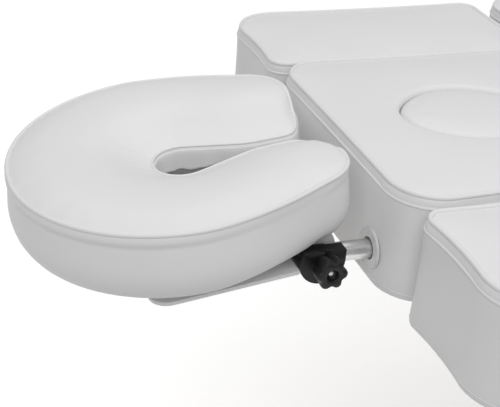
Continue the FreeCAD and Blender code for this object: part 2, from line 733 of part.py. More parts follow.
def main_frame():
    """Rails and cross tubes that the column lifts, with the seat on them."""
    size = "main_tube"
    head_cross = f"({SEAT} - soft_gap)"
    foot_cross = f"({SEAT_END} - {size})"
    start = f"({head_cross} + {size})"
    rail = tube("main_rail", (f"{foot_cross} - {start}", size, size),
                (start, f"{MAIN_SIDE} - {size} / 2", MAIN_BOTTOM), "X")
    rail = bolt_holes("main_rail_drilled", rail, MAIN_SIDE, f"{MAIN_BOTTOM} - 1",
                      f"{MAIN_BOTTOM} + tube_wall + 1")
    node("main_frame_rails", both_sides("main_frame_rails", rail))
    stub = tube("main_head_stub", (size, f"{CROSS_REACH} - {MAIN_SIDE} + {size} / 2", size),
                (head_cross, f"{MAIN_SIDE} - {size} / 2", MAIN_BOTTOM), "Y")
    foot = tube("main_foot_cross", (size, f"2 * {CROSS_REACH}", size),
                (foot_cross, f"0 - {CROSS_REACH}", MAIN_BOTTOM), "Y")
    inner_len = f"main_rail_pitch - {size}"
    inner_low = f"0 - ({inner_len}) / 2"
    bridges = [
        tube(name, (size, inner_len, size), (f"{x} - {size} / 2", inner_low, MAIN_BOTTOM), "Y")
        for name, x in (("back_act_bridge", BACK_ACT_X), ("leg_act_bridge", LEG_ACT_X))
    ]
    stubs = both_sides("main_head_stubs", stub)
    node("main_frame_cross_tubes", group("main_frame_cross_tubes", stubs, foot, *bridges))
    inside = "(tube_wall + soft_gap)"
    plug_size = f"{size} - 2 * {inside}"
    caps = []
    for label, x in (("head", head_cross), ("foot", foot_cross)):
        face = box(f"main_cap_face_{label}", (size, "cap_thick / 2", size), (x, CROSS_REACH, MAIN_BOTTOM))
        plug = box(f"main_cap_plug_{label}", (plug_size, "cap_thick * 2", plug_size),
                   (f"{x} + {inside}", f"{CROSS_REACH} - cap_thick * 2", f"{MAIN_BOTTOM} + {inside}"))
        cap = fuse(f"main_cap_{label}", face, plug)
        caps += [cap, mirrored(f"main_cap_{label}_other", cap)]
    node("main_frame_end_caps", group("main_frame_end_caps", *caps))
    board("seat_board", SEAT, "seat_len")
    node("seat_cushion", pad("seat_cushion", "seat_len", "table_width", "pad_thick",
                             ("joint_corner", "joint_corner", "joint_corner"), SEAT, "0", "table_height"))
    node("control_box", rounded_prism("control_box", "box_len", "box_width", "box_height", "box_corner",
                                      (COLUMN, "0 - box_place", f"{BOARD_BOTTOM} - box_height")))


def board(name, start, length):
    """Plywood board under a full-width cushion."""
    obj = rounded_prism(name, f"({length} - 2 * board_inset)", "(table_width - 2 * board_inset)",
                        "board_thick", "joint_corner", (f"{start} + {length} / 2", "0", BOARD_BOTTOM))
    return node(name, obj)


def actuator_ears(name, x, z, top, pinned):
    """Pair of ears that hang from a cross tube and hold an actuator's end."""
    width = "act_ear_width"
    inner = "act_ear_gap / 2"
    plate = box(name + "_plate", (width, "act_ear_thick", f"{top} - ({z})"), (f"{x} - {width} / 2", inner, z))
    round_end = cylinder(name + "_round", f"{width} / 2", "act_ear_thick", (x, inner, z), Y_AXIS)
    ear = fuse(name + "_blank", plate, round_end)
    if pinned:
        bore = cylinder(name + "_bore", "act_pin_dia / 2 + hinge_fit / 2", "act_ear_thick + 2",
                        (x, f"{inner} - 1", z), Y_AXIS)
        ear = cut(name + "_drilled", ear, bore)
    else:
        head = cylinder(name + "_pin_head", "act_pin_head_radius", "act_pin_head",
                        (x, f"{inner} + act_ear_thick", z), Y_AXIS)
        ear = fuse(name + "_headed", ear, head)
    return both_sides(name, ear)


def actuator(name, tube_end, rod_start, start, end):
    """Body and rod of an electric actuator, drawn along X and turned into its line."""
    dx = value(end[0]) - value(start[0])
    dz = value(end[1]) - value(start[1])
    reach = math.hypot(dx, dz)
    spot = Placement(Vector(value(start[0]), 0, value(start[1])),
                     Rotation(Y_AXIS, -math.degrees(math.atan2(dz, dx))))
    thick = "act_eye_thick"
    eye = cylinder(name + "_eye", "act_eye_radius", thick, ("0", f"0 - {thick} / 2", "0"), Y_AXIS)
    neck = box(name + "_neck", ("act_neck + 4", thick, "act_neck_height"),
               ("0", f"0 - {thick} / 2", "0 - act_neck_height / 2"))
    barrel = cylinder(name + "_barrel", "act_tube_radius", f"{tube_end} - act_neck",
                      ("act_neck", "0", "0"), X_AXIS)
    below = 1 if dx > 0 else -1
    drop = "0 - act_motor_drop" if below > 0 else "act_motor_drop"
    motor = cylinder(name + "_motor", "act_motor_radius", "act_motor_len",
                     ("act_neck + act_motor_start", "0", drop), X_AXIS)
    case_low = "0 - act_motor_drop" if below > 0 else "0"
    case = box(name + "_case", ("act_motor_radius * 1.6", "act_motor_radius * 2", "act_motor_drop"),
               ("act_neck + act_motor_start", "0 - act_motor_radius", case_low))
    whole = fuse(name + "_whole", eye, neck, barrel, motor, case)
    pin_bore = cylinder(name + "_pin_bore", "act_pin_dia / 2 + hinge_fit / 2", f"{thick} + 2",
                        ("0", f"0 - {thick} / 2 - 1", "0"), Y_AXIS)
    rod_bore = cylinder(name + "_rod_bore", "act_rod_radius + act_rod_fit",
                        f"{tube_end} - act_bore_start + 1", ("act_bore_start", "0", "0"), X_AXIS)
    body = cut(name + "_body", whole, pin_bore, rod_bore)
    rod = doc.addObject("Part::Cylinder", name + "_rod_bar")
    rod.setExpression("Radius", bound("act_rod_radius"))
    rod.Height = reach - value(rod_start)
    place(rod, rod_start, "0", "0", Y_AXIS, 90)
    rod_eye = cylinder(name + "_rod_eye", "act_eye_radius", thick, ("0", f"0 - {thick} / 2", "0"), Y_AXIS)
    rod_eye.setExpression("Placement.Base.x", None)
    rod_eye.Placement.Base.x = reach
    rod_whole = fuse(name + "_rod", rod, rod_eye)
    body.Placement = spot
    rod_whole.Placement = spot
    node(name + "_body", body)
    node(name + "_rod", rod_whole)


def actuators():
    """Back and leg actuators with their brackets, lugs and pins."""
    node("back_lug", actuator_ears("back_lug", BACK_LUG_X, BACK_LUG_Z, SECTION_BOTTOM, False))
    span = "act_ear_gap + 2 * act_ear_thick"
    spots = (("back_act_pin", BACK_ACT_X, "back_act_z"), ("leg_act_pin", LEG_ACT_X, "leg_act_z"))
    pins = [
        cylinder(name, "act_pin_dia / 2", span, (x, f"0 - ({span}) / 2", z), Y_AXIS) for name, x, z in spots
    ]
    actuator("back_actuator", "back_act_tube", "back_act_rod_start", (BACK_ACT_X, "back_act_z"),
             (BACK_LUG_X, BACK_LUG_Z))
    actuator("leg_actuator", "leg_act_tube", "leg_act_rod_start", (LEG_ACT_X, "leg_act_z"),
             (LEG_LUG_X, LEG_LUG_Z))
    return pins


def back_hinges():
    """Raised-knuckle hinges in the gap between back and seat, with their axis near the lying surface."""
    y = "(hinge_pitch / 2)"
    outer, bore = "knuckle_dia / 2", "(hinge_pin_dia / 2 + hinge_fit / 2)"
    full = "(3 * knuckle_len)"
    low_y = f"({y} - {full} / 2)"
    mid_y = f"({low_y} + knuckle_len + soft_gap)"
    mid_len = "(knuckle_len - 2 * soft_gap)"
    notch_z = f"({HINGE_Z} - {outer} - leaf_clear)"

    moving_x = f"({BACK_END} + soft_gap)"
    leaf = box("moving_leaf", ("leaf_thick", full, f"{notch_z} - {SECTION_BOTTOM}"),
               (moving_x, low_y, SECTION_BOTTOM))
    tab = box("moving_tab", ("leaf_thick", mid_len, f"{HINGE_Z} - {notch_z}"), (moving_x, mid_y, notch_z))
    knuckle = cylinder("moving_knuckle", outer, mid_len, (HINGE_X, mid_y, HINGE_Z), Y_AXIS)
    hole = cylinder("moving_bore", bore, full, (HINGE_X, low_y, HINGE_Z), Y_AXIS)
    moving = cut("moving_hinge", fuse("moving_blank", leaf, tab, knuckle), hole)
    node("back_hinge_moving", both_sides("back_hinge_moving", moving))

    fixed_x = f"({SEAT} - soft_gap - leaf_thick)"
    leaf = box("fixed_leaf", ("leaf_thick", full, f"{notch_z} - {MAIN_BOTTOM}"),
               (fixed_x, low_y, MAIN_BOTTOM))
    parts = [leaf]
    for label, start in (("low", low_y), ("high", f"({low_y} + 2 * knuckle_len)")):
        parts.append(box(f"fixed_tab_{label}", ("leaf_thick", "knuckle_len", f"{HINGE_Z} - {notch_z}"),
                         (fixed_x, start, notch_z)))
        parts.append(cylinder(f"fixed_knuckle_{label}", outer, "knuckle_len",
                              (HINGE_X, start, HINGE_Z), Y_AXIS))
    hole = cylinder("fixed_bore", bore, full, (HINGE_X, low_y, HINGE_Z), Y_AXIS)
    fixed = cut("fixed_hinge", fuse("fixed_blank", *parts), hole)
    node("back_hinge_fixed", both_sides("back_hinge_fixed", fixed))
    pin = cylinder("back_hinge_pin", "hinge_pin_dia / 2", full, (HINGE_X, low_y, HINGE_Z), Y_AXIS)
    return [pin, mirrored("back_hinge_pin_other", pin)]


def leg_hinges():
    """Low clevis hinges between the main frame and the leg section."""
    y = "(hinge_pitch / 2)"
    radius = "leg_lug_radius"
    gap = "soft_gap"
    lug_low = f"({y} - leg_lug_thick / 2)"
    bore = "leg_pin_dia / 2 + hinge_fit / 2"
    reach = "section_tube_width"
    web = box("leg_lug_web", (f"joint_gap / 2 + {reach} / 2 + {gap}", "leg_lug_thick",
                              f"{SECTION_BOTTOM} - {LEG_PIVOT_Z}"), (LEG_PIVOT_X, lug_low, LEG_PIVOT_Z))
    eye = cylinder("leg_lug_eye", radius, "leg_lug_thick", (LEG_PIVOT_X, lug_low, LEG_PIVOT_Z), Y_AXIS)
    hole = cylinder("leg_lug_bore", bore, "leg_lug_thick + 2",
                    (LEG_PIVOT_X, f"{lug_low} - 1", LEG_PIVOT_Z), Y_AXIS)
    hinge_lugs = both_sides("leg_hinge_lugs", cut("leg_lug_one", fuse("leg_lug_blank", web, eye), hole))
    node("leg_brackets", group("leg_brackets", hinge_lugs,
                               actuator_ears("leg_lug", LEG_LUG_X, LEG_LUG_Z, SECTION_BOTTOM, False)))
    ears = []
    starts = {"low": f"({lug_low} - {gap} - leg_ear_thick)", "high": f"({lug_low} + leg_lug_thick + {gap})"}
    for label, start in starts.items():
        web = box(f"leg_ear_web_{label}", ("main_tube", "leg_ear_thick", f"{MAIN_BOTTOM} - {LEG_PIVOT_Z}"),
                  (f"{LEG_PIVOT_X} - main_tube", start, LEG_PIVOT_Z))
        eye = cylinder(f"leg_ear_eye_{label}", radius, "leg_ear_thick",
                       (LEG_PIVOT_X, start, LEG_PIVOT_Z), Y_AXIS)
        hole = cylinder(f"leg_ear_bore_{label}", bore, "leg_ear_thick + 2",
                        (LEG_PIVOT_X, f"{start} - 1", LEG_PIVOT_Z), Y_AXIS)
        ears.append(cut(f"leg_ear_{label}", fuse(f"leg_ear_blank_{label}", web, eye), hole))
    node("main_frame_brackets", group(
        "main_frame_brackets", both_sides("leg_hinge_ears", group("leg_ears", *ears)),
        actuator_ears("back_act_ears", BACK_ACT_X, "back_act_z", MAIN_BOTTOM, True),
        actuator_ears("leg_act_ears", LEG_ACT_X, "leg_act_z", MAIN_BOTTOM, True)))
    span = f"leg_lug_thick + 2 * ({gap} + leg_ear_thick)"
    pin = cylinder("leg_hinge_pin", "leg_pin_dia / 2", span,
                   (LEG_PIVOT_X, f"{y} - ({span}) / 2", LEG_PIVOT_Z), Y_AXIS)
    return [pin, mirrored("leg_hinge_pin_other", pin)]


def section_rail(name, start, end):
    """Long rail of a section frame, on both sides."""
    width, height = "section_tube_width", "section_tube_height"
    rail = tube(name, (f"{end} - {start}", width, height),
                (start, f"{RAIL_SIDE} - {width} / 2", SECTION_BOTTOM), "X")
    return [rail, mirrored(name + "_other", rail)]


def section_cross(name, start, half):
    width, height = "section_tube_width", "section_tube_height"
    return tube(name, (width, f"2 * ({half})", height), (start, f"0 - ({half})", SECTION_BOTTOM), "Y")


def back_section():
    """Frame, boards and cushions of the back, with the breathing hole and the sockets."""
    width = "section_tube_width"
    end_cross = f"({BACK_END} + soft_gap - {width})"
    rails = section_rail("back_rail_head", f"({HEAD} + head_rail_start)", BACK_CROSS)
    rails += section_rail("back_rail_tail", f"({BACK_CROSS} + {width})", end_cross)
    node("back_frame_rails", group("back_frame_rails", *rails))
    head_cross = section_cross("back_head_cross", f"({HEAD} + head_rail_start)", f"{RAIL_SIDE} - {width} / 2")
    node("back_frame_cross_tubes", group(
        "back_frame_cross_tubes", head_cross, section_cross("back_mid_tube", BACK_CROSS, "arm_cross_reach"),
        section_cross("back_end_tube", end_cross, CROSS_REACH)))
    board("back_board", BACK, "back_len")
    node("back_cushion", pad("back_cushion", "back_len", "table_width", "pad_thick",
                             ("pad_corner", "pad_corner", "joint_corner"), BACK, "0", "table_height"))
    head_board_and_cushion()


def head_board_and_cushion():
    """Head cushion with its breathing hole, rod sockets and eyelets, on its board."""
    low = value(PAD_BOTTOM)
    top = value("table_height")
    centre = Vector(value(f"{HEAD} + hole_centre"), 0, 0)
    blank = rounded_prism("head_board_blank", "(head_len - 2 * board_inset)",
                          "(head_width - 2 * board_inset)", "board_thick", "joint_corner",
                          (f"{HEAD} + head_len / 2", "0", BOARD_BOTTOM))
    board_well = oval_column(value("hole_ledge"), value(BOARD_BOTTOM) - 1, low + 1)
    board_hole = shaped("head_board_hole", board_well, Placement(centre, Rotation()))
    node("head_board", cut("head_board", blank, board_hole))

    gap = "soft_gap"
    block_z = f"({ROD_Z} + rod_dia / 2 + socket_cover)"
    block = box("socket_block", ("socket_len", "socket_width", f"{block_z} - {PAD_BOTTOM}"),
                (f"{HEAD} + socket_start", f"{ROD_SIDE} - socket_width / 2", PAD_BOTTOM))
    bore = cylinder("socket_bore", "rod_dia / 2 + rod_fit / 2", "socket_len + 2",
                    (f"{HEAD} + socket_start - 1", ROD_SIDE, ROD_Z), X_AXIS)
    node("face_rod_sockets", both_sides("face_rod_sockets", cut("socket_one", block, bore)))

    flange = cylinder("eyelet_flange", "eyelet_dia / 2", "eyelet_thick",
                      (f"{HEAD} - {gap} - eyelet_thick", ROD_SIDE, ROD_Z), X_AXIS)
    sleeve = cylinder("eyelet_tube", "eyelet_sleeve / 2", f"socket_start + {gap}",
                      (f"{HEAD} - {gap}", ROD_SIDE, ROD_Z), X_AXIS)
    mouth = cylinder("eyelet_mouth", "eyelet_bore / 2", "socket_start + 10",
                     (f"{HEAD} - 5", ROD_SIDE, ROD_Z), X_AXIS)
    eyelet = cut("eyelet_one", fuse("eyelet_blank", flange, sleeve), mouth)
    node("rod_eyelets", both_sides("rod_eyelets", eyelet))

    cushion = pad("head_cushion_blank", "head_len", "head_width", "pad_thick",
                  ("pad_corner", "pad_corner", "joint_corner"),
                  HEAD, "0", "table_height")
    well = shaped("head_cushion_well", oval_column(0.0, low - 1, top + 2 * value("pad_crown")),
                  Placement(centre, Rotation()))
    pocket = box("socket_pocket", (f"socket_len + 2 * {gap}", f"socket_width + 2 * {gap}",
                                   f"{block_z} + {gap} - {PAD_BOTTOM} + 1"),
                 (f"{HEAD} + socket_start - {gap}", f"{ROD_SIDE} - socket_width / 2 - {gap}",
                  f"{PAD_BOTTOM} - 1"))
    passage = cylinder("eyelet_passage", f"eyelet_sleeve / 2 + {gap}", "socket_start + 10",
                       (f"{HEAD} - 10", ROD_SIDE, ROD_Z), X_AXIS)
    node("head_cushion", cut("head_cushion", cushion, well, pocket, mirrored("socket_pocket_other", pocket),
                             passage, mirrored("eyelet_passage_other", passage)))
    node("face_plug", plug_cushion(centre, low, top))


def plug_cushion(centre, low, top):
    """Oval cushion that fills the breathing hole and stands on the board's ledge."""
    edge = value("pad_edge")
    gap = value("plug_gap")
    crown = value("plug_crown")
    seam = top - value("plug_sink")
    levels = [
        (low, gap + edge), (low + edge, gap), (seam - edge, gap), (seam, gap + edge / 2),
        (seam + crown * 0.7, gap + edge * 3), (seam + crown, gap + edge * 5),
    ]
    length, width, radius = value("hole_len"), value("hole_width"), value("hole_end_radius")
    wires = [
        oval_wire(length - 2 * inset, width - 2 * inset, radius - inset, height) for height, inset in levels
    ]
    return shaped("face_plug", Part.makeLoft(wires, True, True), Placement(centre, Rotation()))


def leg_section():
    """Frame, board and cushion of the leg section."""
    width = "section_tube_width"
    head_cross = f"({LEG} + board_inset / 6)"
    end_cross = f"({LEG_END} - board_inset * 2 - {width})"
    rails = section_rail("leg_rail_head", f"({head_cross} + {width})", LEG_CROSS)
    rails += section_rail("leg_rail_tail", f"({LEG_CROSS} + {width})", end_cross)
    node("leg_frame_rails", group("leg_frame_rails", *rails))
    node("leg_frame_cross_tubes", group(
        "leg_frame_cross_tubes", section_cross("leg_head_tube", head_cross, CROSS_REACH),
        section_cross("leg_mid_tube", LEG_CROSS, CROSS_REACH),
        section_cross("leg_end_tube", end_cross, CROSS_REACH)))
    board("leg_board", LEG, "leg_len")
    node("leg_cushion", pad("leg_cushion", "leg_len", "table_width", "pad_thick",
                            ("joint_corner", "joint_corner", "pad_corner"), LEG, "0", "table_height"))


def arm_rest(label, out, sign, corners):
    """Arm rest on two rods that slide in sockets under the back board."""
    name = f"arm_{label}"
    start = f"({HEAD} - {out})"
    side = f"({sign}{ARM_SIDE})"
    node(f"{name}_cushion", pad(f"{name}_cushion", "arm_len", "arm_width", "arm_thick",
                                (*corners, "joint_corner"), start, side, ARM_TOP))
    node(f"{name}_board", rounded_prism(
        f"{name}_board", "(arm_len - 2 * board_inset)", "(arm_width - 2 * board_inset)", "arm_board_thick",
        "joint_corner", (f"{start} + arm_len / 2", side, f"{ARM_BOTTOM} - arm_board_thick")))
    rods = []
    saddles = []
    sockets = []
    for lane, shift in (("in", "- arm_rod_spacing / 2"), ("out", "+ arm_rod_spacing / 2")):
        y = f"({side} {shift})"
        rod_x = f"({start} + arm_len - arm_rod_cover)"
        rods.append(cylinder(f"{name}_rod_{lane}", "rod_dia / 2", "arm_rod_cover + arm_rod_reach",
                             (rod_x, y, ARM_ROD_Z), X_AXIS))
        for spot, x in (("head", f"({rod_x} + saddle_len)"),
                        ("foot", f"({start} + arm_len - board_inset - 2 * saddle_len)")):
            tag = f"{name}_saddle_{lane}_{spot}"
            block = box(tag + "_block", ("saddle_len", "saddle_width", "rod_dia + saddle_wall"),
                        (x, f"{y} - saddle_width / 2", f"{ARM_ROD_Z} - rod_dia / 2 - saddle_wall"))
            hole = cylinder(tag + "_hole", "rod_dia / 2 + rod_fit / 2", "saddle_len + 2",
                            (f"{x} - 1", y, ARM_ROD_Z), X_AXIS)
            saddles.append(cut(tag, block, hole))
        socket_low = f"({ARM_ROD_Z} - rod_dia / 2 - arm_socket_wall)"
        block = box(f"{name}_socket_block_{lane}", ("arm_socket_len", "arm_socket_width",
                                                    f"{BOARD_BOTTOM} - {socket_low}"),
                    (f"{BACK} + arm_rail_gap", f"{y} - arm_socket_width / 2", socket_low))
        hole = cylinder(f"{name}_socket_bore_{lane}", "rod_dia / 2 + rod_fit / 2", "arm_socket_len + 2",
                        (f"{BACK} + arm_rail_gap - 1", y, ARM_ROD_Z), X_AXIS)
        sockets.append(cut(f"{name}_socket_{lane}", block, hole))
    node(f"{name}_rods", group(f"{name}_rods", *rods, *saddles))
    return sockets


def arm_rests():
    near = arm_rest("near", "arm_near_out", "0 - ", ("arm_corner", "arm_inner_corner"))
    far = arm_rest("far", "arm_far_out", "0 + ", ("arm_inner_corner", "arm_corner"))
    node("arm_rod_sockets", group("arm_rod_sockets", *near, *far))


def star_knob(name):
    """Six-lobed clamping knob with a recess that shows the end of its stud."""
    body = doc.addObject("PartDesign::Body", name)
    plane = origin_plane(body, "XY_Plane")
    disc = body.newObject("Sketcher::SketchObject", name + "_disc")
    disc.AttachmentSupport = [(plane, "")]
    disc.MapMode = "FlatFace"
    disc.addGeometry(Part.Circle(Vector(), Z_AXIS, value("knob_radius")))
    disc.addConstraint(Sketcher.Constraint("Coincident", 0, 3, -1, 1))
    number = disc.addConstraint(Sketcher.Constraint("Radius", 0, value("knob_radius")))
    disc.setExpression(f"Constraints[{number}]", bound("knob_radius"))
    padded = body.newObject("PartDesign::Pad", name + "_pad")
    padded.Profile = disc
    padded.setExpression("Length", bound("knob_thick"))

    flute = body.newObject("Sketcher::SketchObject", name + "_flute")
    flute.AttachmentSupport = [(plane, "")]
    flute.MapMode = "FlatFace"
    flute.addGeometry(Part.Circle(Vector(value("knob_lobe_place"), 0, 0), Z_AXIS, value("knob_lobe_cut")))
    flute.addConstraint(Sketcher.Constraint("PointOnObject", 0, 3, -1))
    number = flute.addConstraint(Sketcher.Constraint("Radius", 0, value("knob_lobe_cut")))
    flute.setExpression(f"Constraints[{number}]", bound("knob_lobe_cut"))
    number = flute.addConstraint(Sketcher.Constraint("DistanceX", -1, 1, 0, 3, value("knob_lobe_place")))
    flute.setExpression(f"Constraints[{number}]", bound("knob_lobe_place"))
    fluted = body.newObject("PartDesign::Pocket", name + "_pocket")
    fluted.Profile = flute
    fluted.Type = 1
    fluted.Reversed = True
    star = body.newObject("PartDesign::PolarPattern", name + "_star")
    star.Originals = [fluted]
    star.Axis = (disc, ["N_Axis"])
    star.Angle = 360
    star.Occurrences = 6
    body.Tip = star
    return body


def face_rest_hinge():
    """Rods, clamps, knobs and nuts that carry the face rest."""
    rod_place = (f"{HEAD} - rod_end", ROD_SIDE, ROD_Z)
    rod = cylinder("face_rod_far", "rod_dia / 2", "rod_end + rod_in", rod_place, X_AXIS)
    node("face_rods", both_sides("face_rods", rod))

    disc = cylinder("clamp_disc", "clamp_radius", "clamp_outer - clamp_inner",
                    (FACE_X, "clamp_inner", ROD_Z), Y_AXIS)
    boss = cylinder("clamp_boss", "boss_radius", "hinge_out - boss_end", (FACE_X, ROD_SIDE, ROD_Z), X_AXIS)
    shelf = box("clamp_shelf", ("hinge_out - boss_end", "clamp_outer - clamp_inner", "boss_radius"),
                (FACE_X, "clamp_inner", ROD_Z))
    rod_hole = cylinder("clamp_rod_hole", "rod_dia / 2 + rod_fit / 2", "rod_end", rod_place, X_AXIS)
    stud_hole = cylinder("clamp_stud_hole", "stud_dia / 2 + stud_fit", "clamp_outer",
                         (FACE_X, "clamp_inner - 10", ROD_Z), Y_AXIS)
    inner_side = box("clamp_inner_side", ("hinge_out", "clamp_inner", "2 * boss_radius + 2"),
                     (FACE_X, "0", f"{ROD_Z} - boss_radius - 1"))
    clamp = cut("clamp_far", fuse("clamp_blank", disc, boss, shelf), rod_hole, stud_hole, inner_side)
    node("hinge_clamps", both_sides("hinge_clamps", clamp))

    knob = star_knob("knob_star")
    knob_y = "clamp_outer + knob_gap + knob_neck"
    place(knob, FACE_X, knob_y, ROD_Z, X_AXIS, -90)
    recess = cylinder("knob_recess_tool", "knob_recess_radius", "knob_recess + 1",
                      (FACE_X, f"{knob_y} + knob_thick - knob_recess", ROD_Z), Y_AXIS)
    star = cut("knob_star_far", knob, recess)
    neck = cylinder("knob_neck_far", "knob_neck_radius", "knob_neck",
                    (FACE_X, "clamp_outer + knob_gap", ROD_Z), Y_AXIS)
    inner = "clamp_inner - ear_gap - ear_thick - nut_thick"
    stud = cylinder("knob_stud_far", "stud_dia / 2", f"{knob_y} + knob_thick - knob_recess / 2 - ({inner})",
                    (FACE_X, inner, ROD_Z), Y_AXIS)
    knob_whole = fuse("knob_far", star, neck, stud)
    node("knob_far", knob_whole)
    node("knob_near", mirrored("knob_near", knob_whole))


def face_piece(obj):
    """Tilt a face-rest piece drawn about the hinge axis into its place."""
    obj.Placement = Placement(Vector(value(FACE_X), 0, value(ROD_Z)), Rotation(Y_AXIS, -value("face_tilt")))
    return obj


def face_rest():
    """Brackets, board and horseshoe cushion, drawn level about the hinge axis and then tilted."""
    ear_low = "(clamp_inner - ear_gap - ear_thick)"
    strip_low = "(strip_out - strip_width)"
    strip_len = "(strip_end - strip_width / 2 - strip_start)"
    strip_x = "(0 - strip_start)"
    strip = box("strip_flat", (strip_len, "strip_width", "strip_thick"),
                (f"{strip_x} - {strip_len}", strip_low, "0 - strip_thick"))
    tongue = cylinder("strip_tongue", "strip_width / 2", "strip_thick",
                      (f"{strip_x} - {strip_len}", f"{strip_low} + strip_width / 2", "0 - strip_thick"))
    ear = cylinder("bracket_ear", "clamp_radius", "ear_thick", ("0", ear_low, "0"), Y_AXIS)
    web = box("bracket_web", ("strip_start + clamp_radius", "ear_thick", "clamp_radius"),
              ("0 - strip_start - clamp_radius", ear_low, "0 - clamp_radius"))
    bore = cylinder("bracket_bore", "stud_dia / 2 + stud_fit", "ear_thick + 2",
                    ("0", f"{ear_low} - 1", "0"), Y_AXIS)
    bracket = cut("bracket_far", fuse("bracket_blank", strip, tongue, ear, web), bore)
    node("face_brackets", face_piece(both_sides("face_brackets", bracket)))

    nut = doc.addObject("Part::Prism", "nut_blank")
    nut.Polygon = 6
    nut.setExpression("Circumradius", bound("nut_width / 2"))
    nut.setExpression("Height", bound("nut_thick"))
    place(nut, "0", f"{ear_low} - nut_thick", "0", X_AXIS, -90)
    nut_bore = cylinder("nut_bore", "stud_dia / 2 + stud_fit", "nut_thick + 2",
                        ("0", f"{ear_low} - nut_thick - 1", "0"), Y_AXIS)
    nuts = both_sides("stud_nuts", cut("nut_far", nut, nut_bore))

    screws = []
    for label, back in (("end", "0"), ("mid", "screw_pitch")):
        x = f"({strip_x} - {strip_len} + {back})"
        head = doc.addObject("Part::Cone", f"strip_screw_{label}")
        head.setExpression("Radius1", bound("screw_radius * 0.7"))
        head.setExpression("Radius2", bound("screw_radius"))
        head.setExpression("Height", bound("screw_head"))
        place(head, x, f"{strip_low} + screw_end_place", "0 - strip_thick - screw_head")
        screws += [head, mirrored(f"strip_screw_{label}_other", head)]
    node("face_rest_fasteners", face_piece(group("face_rest_fasteners", nuts, *screws)))

    inset = value("face_board_inset")
    outline = horseshoe_wire(inset, value("face_board_slot"), 0.0)
    board_shape = Part.Face(outline).extrude(Vector(0, 0, value("face_bottom - soft_gap")))
    node("face_board", face_piece(shaped("face_board", board_shape)))

    bottom, seam, top = value("face_bottom"), value("face_seam"), value("face_top")
    dish = value("slot_dish")
    low_inset, top_inset = value("face_low_inset"), value("face_top_inset")
    wires = [
        horseshoe_wire(low_inset * pull, dish * wide, bottom + (seam - bottom) * rise)
        for rise, pull, wide in FACE_SIDE
    ]
    wires += [
        horseshoe_wire(top_inset * pull, dish * wide, seam + (top - seam) * rise)
        for rise, pull, wide in FACE_CROWN
    ]
    blank = shaped("face_cushion_blank", Part.makeLoft(wires, True, True))
    relief = cylinder("clamp_relief_far", "clamp_radius + clamp_relief", "face_half",
                      ("0", f"{ear_low} - clamp_relief", "0"), Y_AXIS)
    cushion = cut("face_cushion", blank, relief, mirrored("clamp_relief_near", relief))
    node("face_cushion", face_piece(cushion))


def check_and_write():
    """Stop on any failed object, then write one file per piece."""
    doc.recompute()
    for obj in doc.Objects:
        if "Invalid" in obj.State or "Error" in obj.State:
            raise RuntimeError(f"{obj.Name} failed: {obj.State}")
    for name, obj in nodes.items():
        shape = obj.Shape
        if shape.isNull() or not shape.isValid() or not shape.Solids:
            raise RuntimeError(f"{name} has no valid solid")
    os.makedirs("parts", exist_ok=True)
    for name, obj in nodes.items():
        obj.Shape.exportStep(f"parts/{name}.step")
    print(len(nodes), "pieces written")


base_pieces()
lifting_column()
main_frame()
pivot_pins = actuators() + back_hinges() + leg_hinges()
node("pivot_pins", group("pivot_pins", *pivot_pins))
back_section()
leg_section()
arm_rests()
face_rest_hinge()
face_rest()
check_and_write()
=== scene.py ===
"""Looks of the electric treatment table: cushion covers, knobs, clamps, materials, floor, light and camera.

Lengths are in metres.
"""
import json
import math

import bmesh
import bpy
import numpy as np
from mathutils import Matrix, Vector, geometry


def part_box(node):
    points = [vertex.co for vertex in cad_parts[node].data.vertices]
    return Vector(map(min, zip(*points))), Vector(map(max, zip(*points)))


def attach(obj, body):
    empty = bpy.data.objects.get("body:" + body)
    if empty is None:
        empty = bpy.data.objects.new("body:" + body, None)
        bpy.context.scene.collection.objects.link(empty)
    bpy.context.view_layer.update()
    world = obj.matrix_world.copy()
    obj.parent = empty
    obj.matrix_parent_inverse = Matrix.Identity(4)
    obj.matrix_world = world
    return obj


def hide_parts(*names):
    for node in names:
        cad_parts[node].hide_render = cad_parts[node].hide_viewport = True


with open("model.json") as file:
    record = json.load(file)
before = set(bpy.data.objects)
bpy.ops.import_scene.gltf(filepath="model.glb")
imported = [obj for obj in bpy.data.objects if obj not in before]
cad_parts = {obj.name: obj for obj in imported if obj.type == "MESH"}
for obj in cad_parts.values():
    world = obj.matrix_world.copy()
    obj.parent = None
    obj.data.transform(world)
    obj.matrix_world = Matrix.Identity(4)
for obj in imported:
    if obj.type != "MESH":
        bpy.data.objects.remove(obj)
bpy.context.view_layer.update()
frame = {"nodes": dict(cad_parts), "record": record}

NODES = frame["nodes"]
TINY = 1e-9


# Materials

RAMP_START, RAMP_END = 0.3, 0.7


def new_material(name, colour, roughness, metallic=0.0):
    """Principled material with its node tree, shader and object coordinates at hand."""
    material = bpy.data.materials.new(name)
    material.use_nodes = True
    tree = material.node_tree
    shader = tree.nodes["Principled BSDF"]
    shader.inputs["Base Color"].default_value = (*colour, 1.0)
    shader.inputs["Roughness"].default_value = roughness
    shader.inputs["Metallic"].default_value = metallic
    coords = tree.nodes.new("ShaderNodeTexCoord").outputs["Object"]
    return material, tree, shader, coords


def stretched(tree, coords, scale):
    """Coordinates scaled along each axis."""
    mapping = tree.nodes.new("ShaderNodeMapping")
    mapping.inputs["Scale"].default_value = scale
    tree.links.new(coords, mapping.inputs["Vector"])
    return mapping.outputs["Vector"]


def noise(tree, coords, scale, detail=3.0, rough=0.55):
    """Cloudy value from 0 to 1."""
    node = tree.nodes.new("ShaderNodeTexNoise")
    node.inputs["Scale"].default_value = scale
    node.inputs["Detail"].default_value = detail
    node.inputs["Roughness"].default_value = rough
    tree.links.new(coords, node.inputs["Vector"])
    return node.outputs["Fac"]


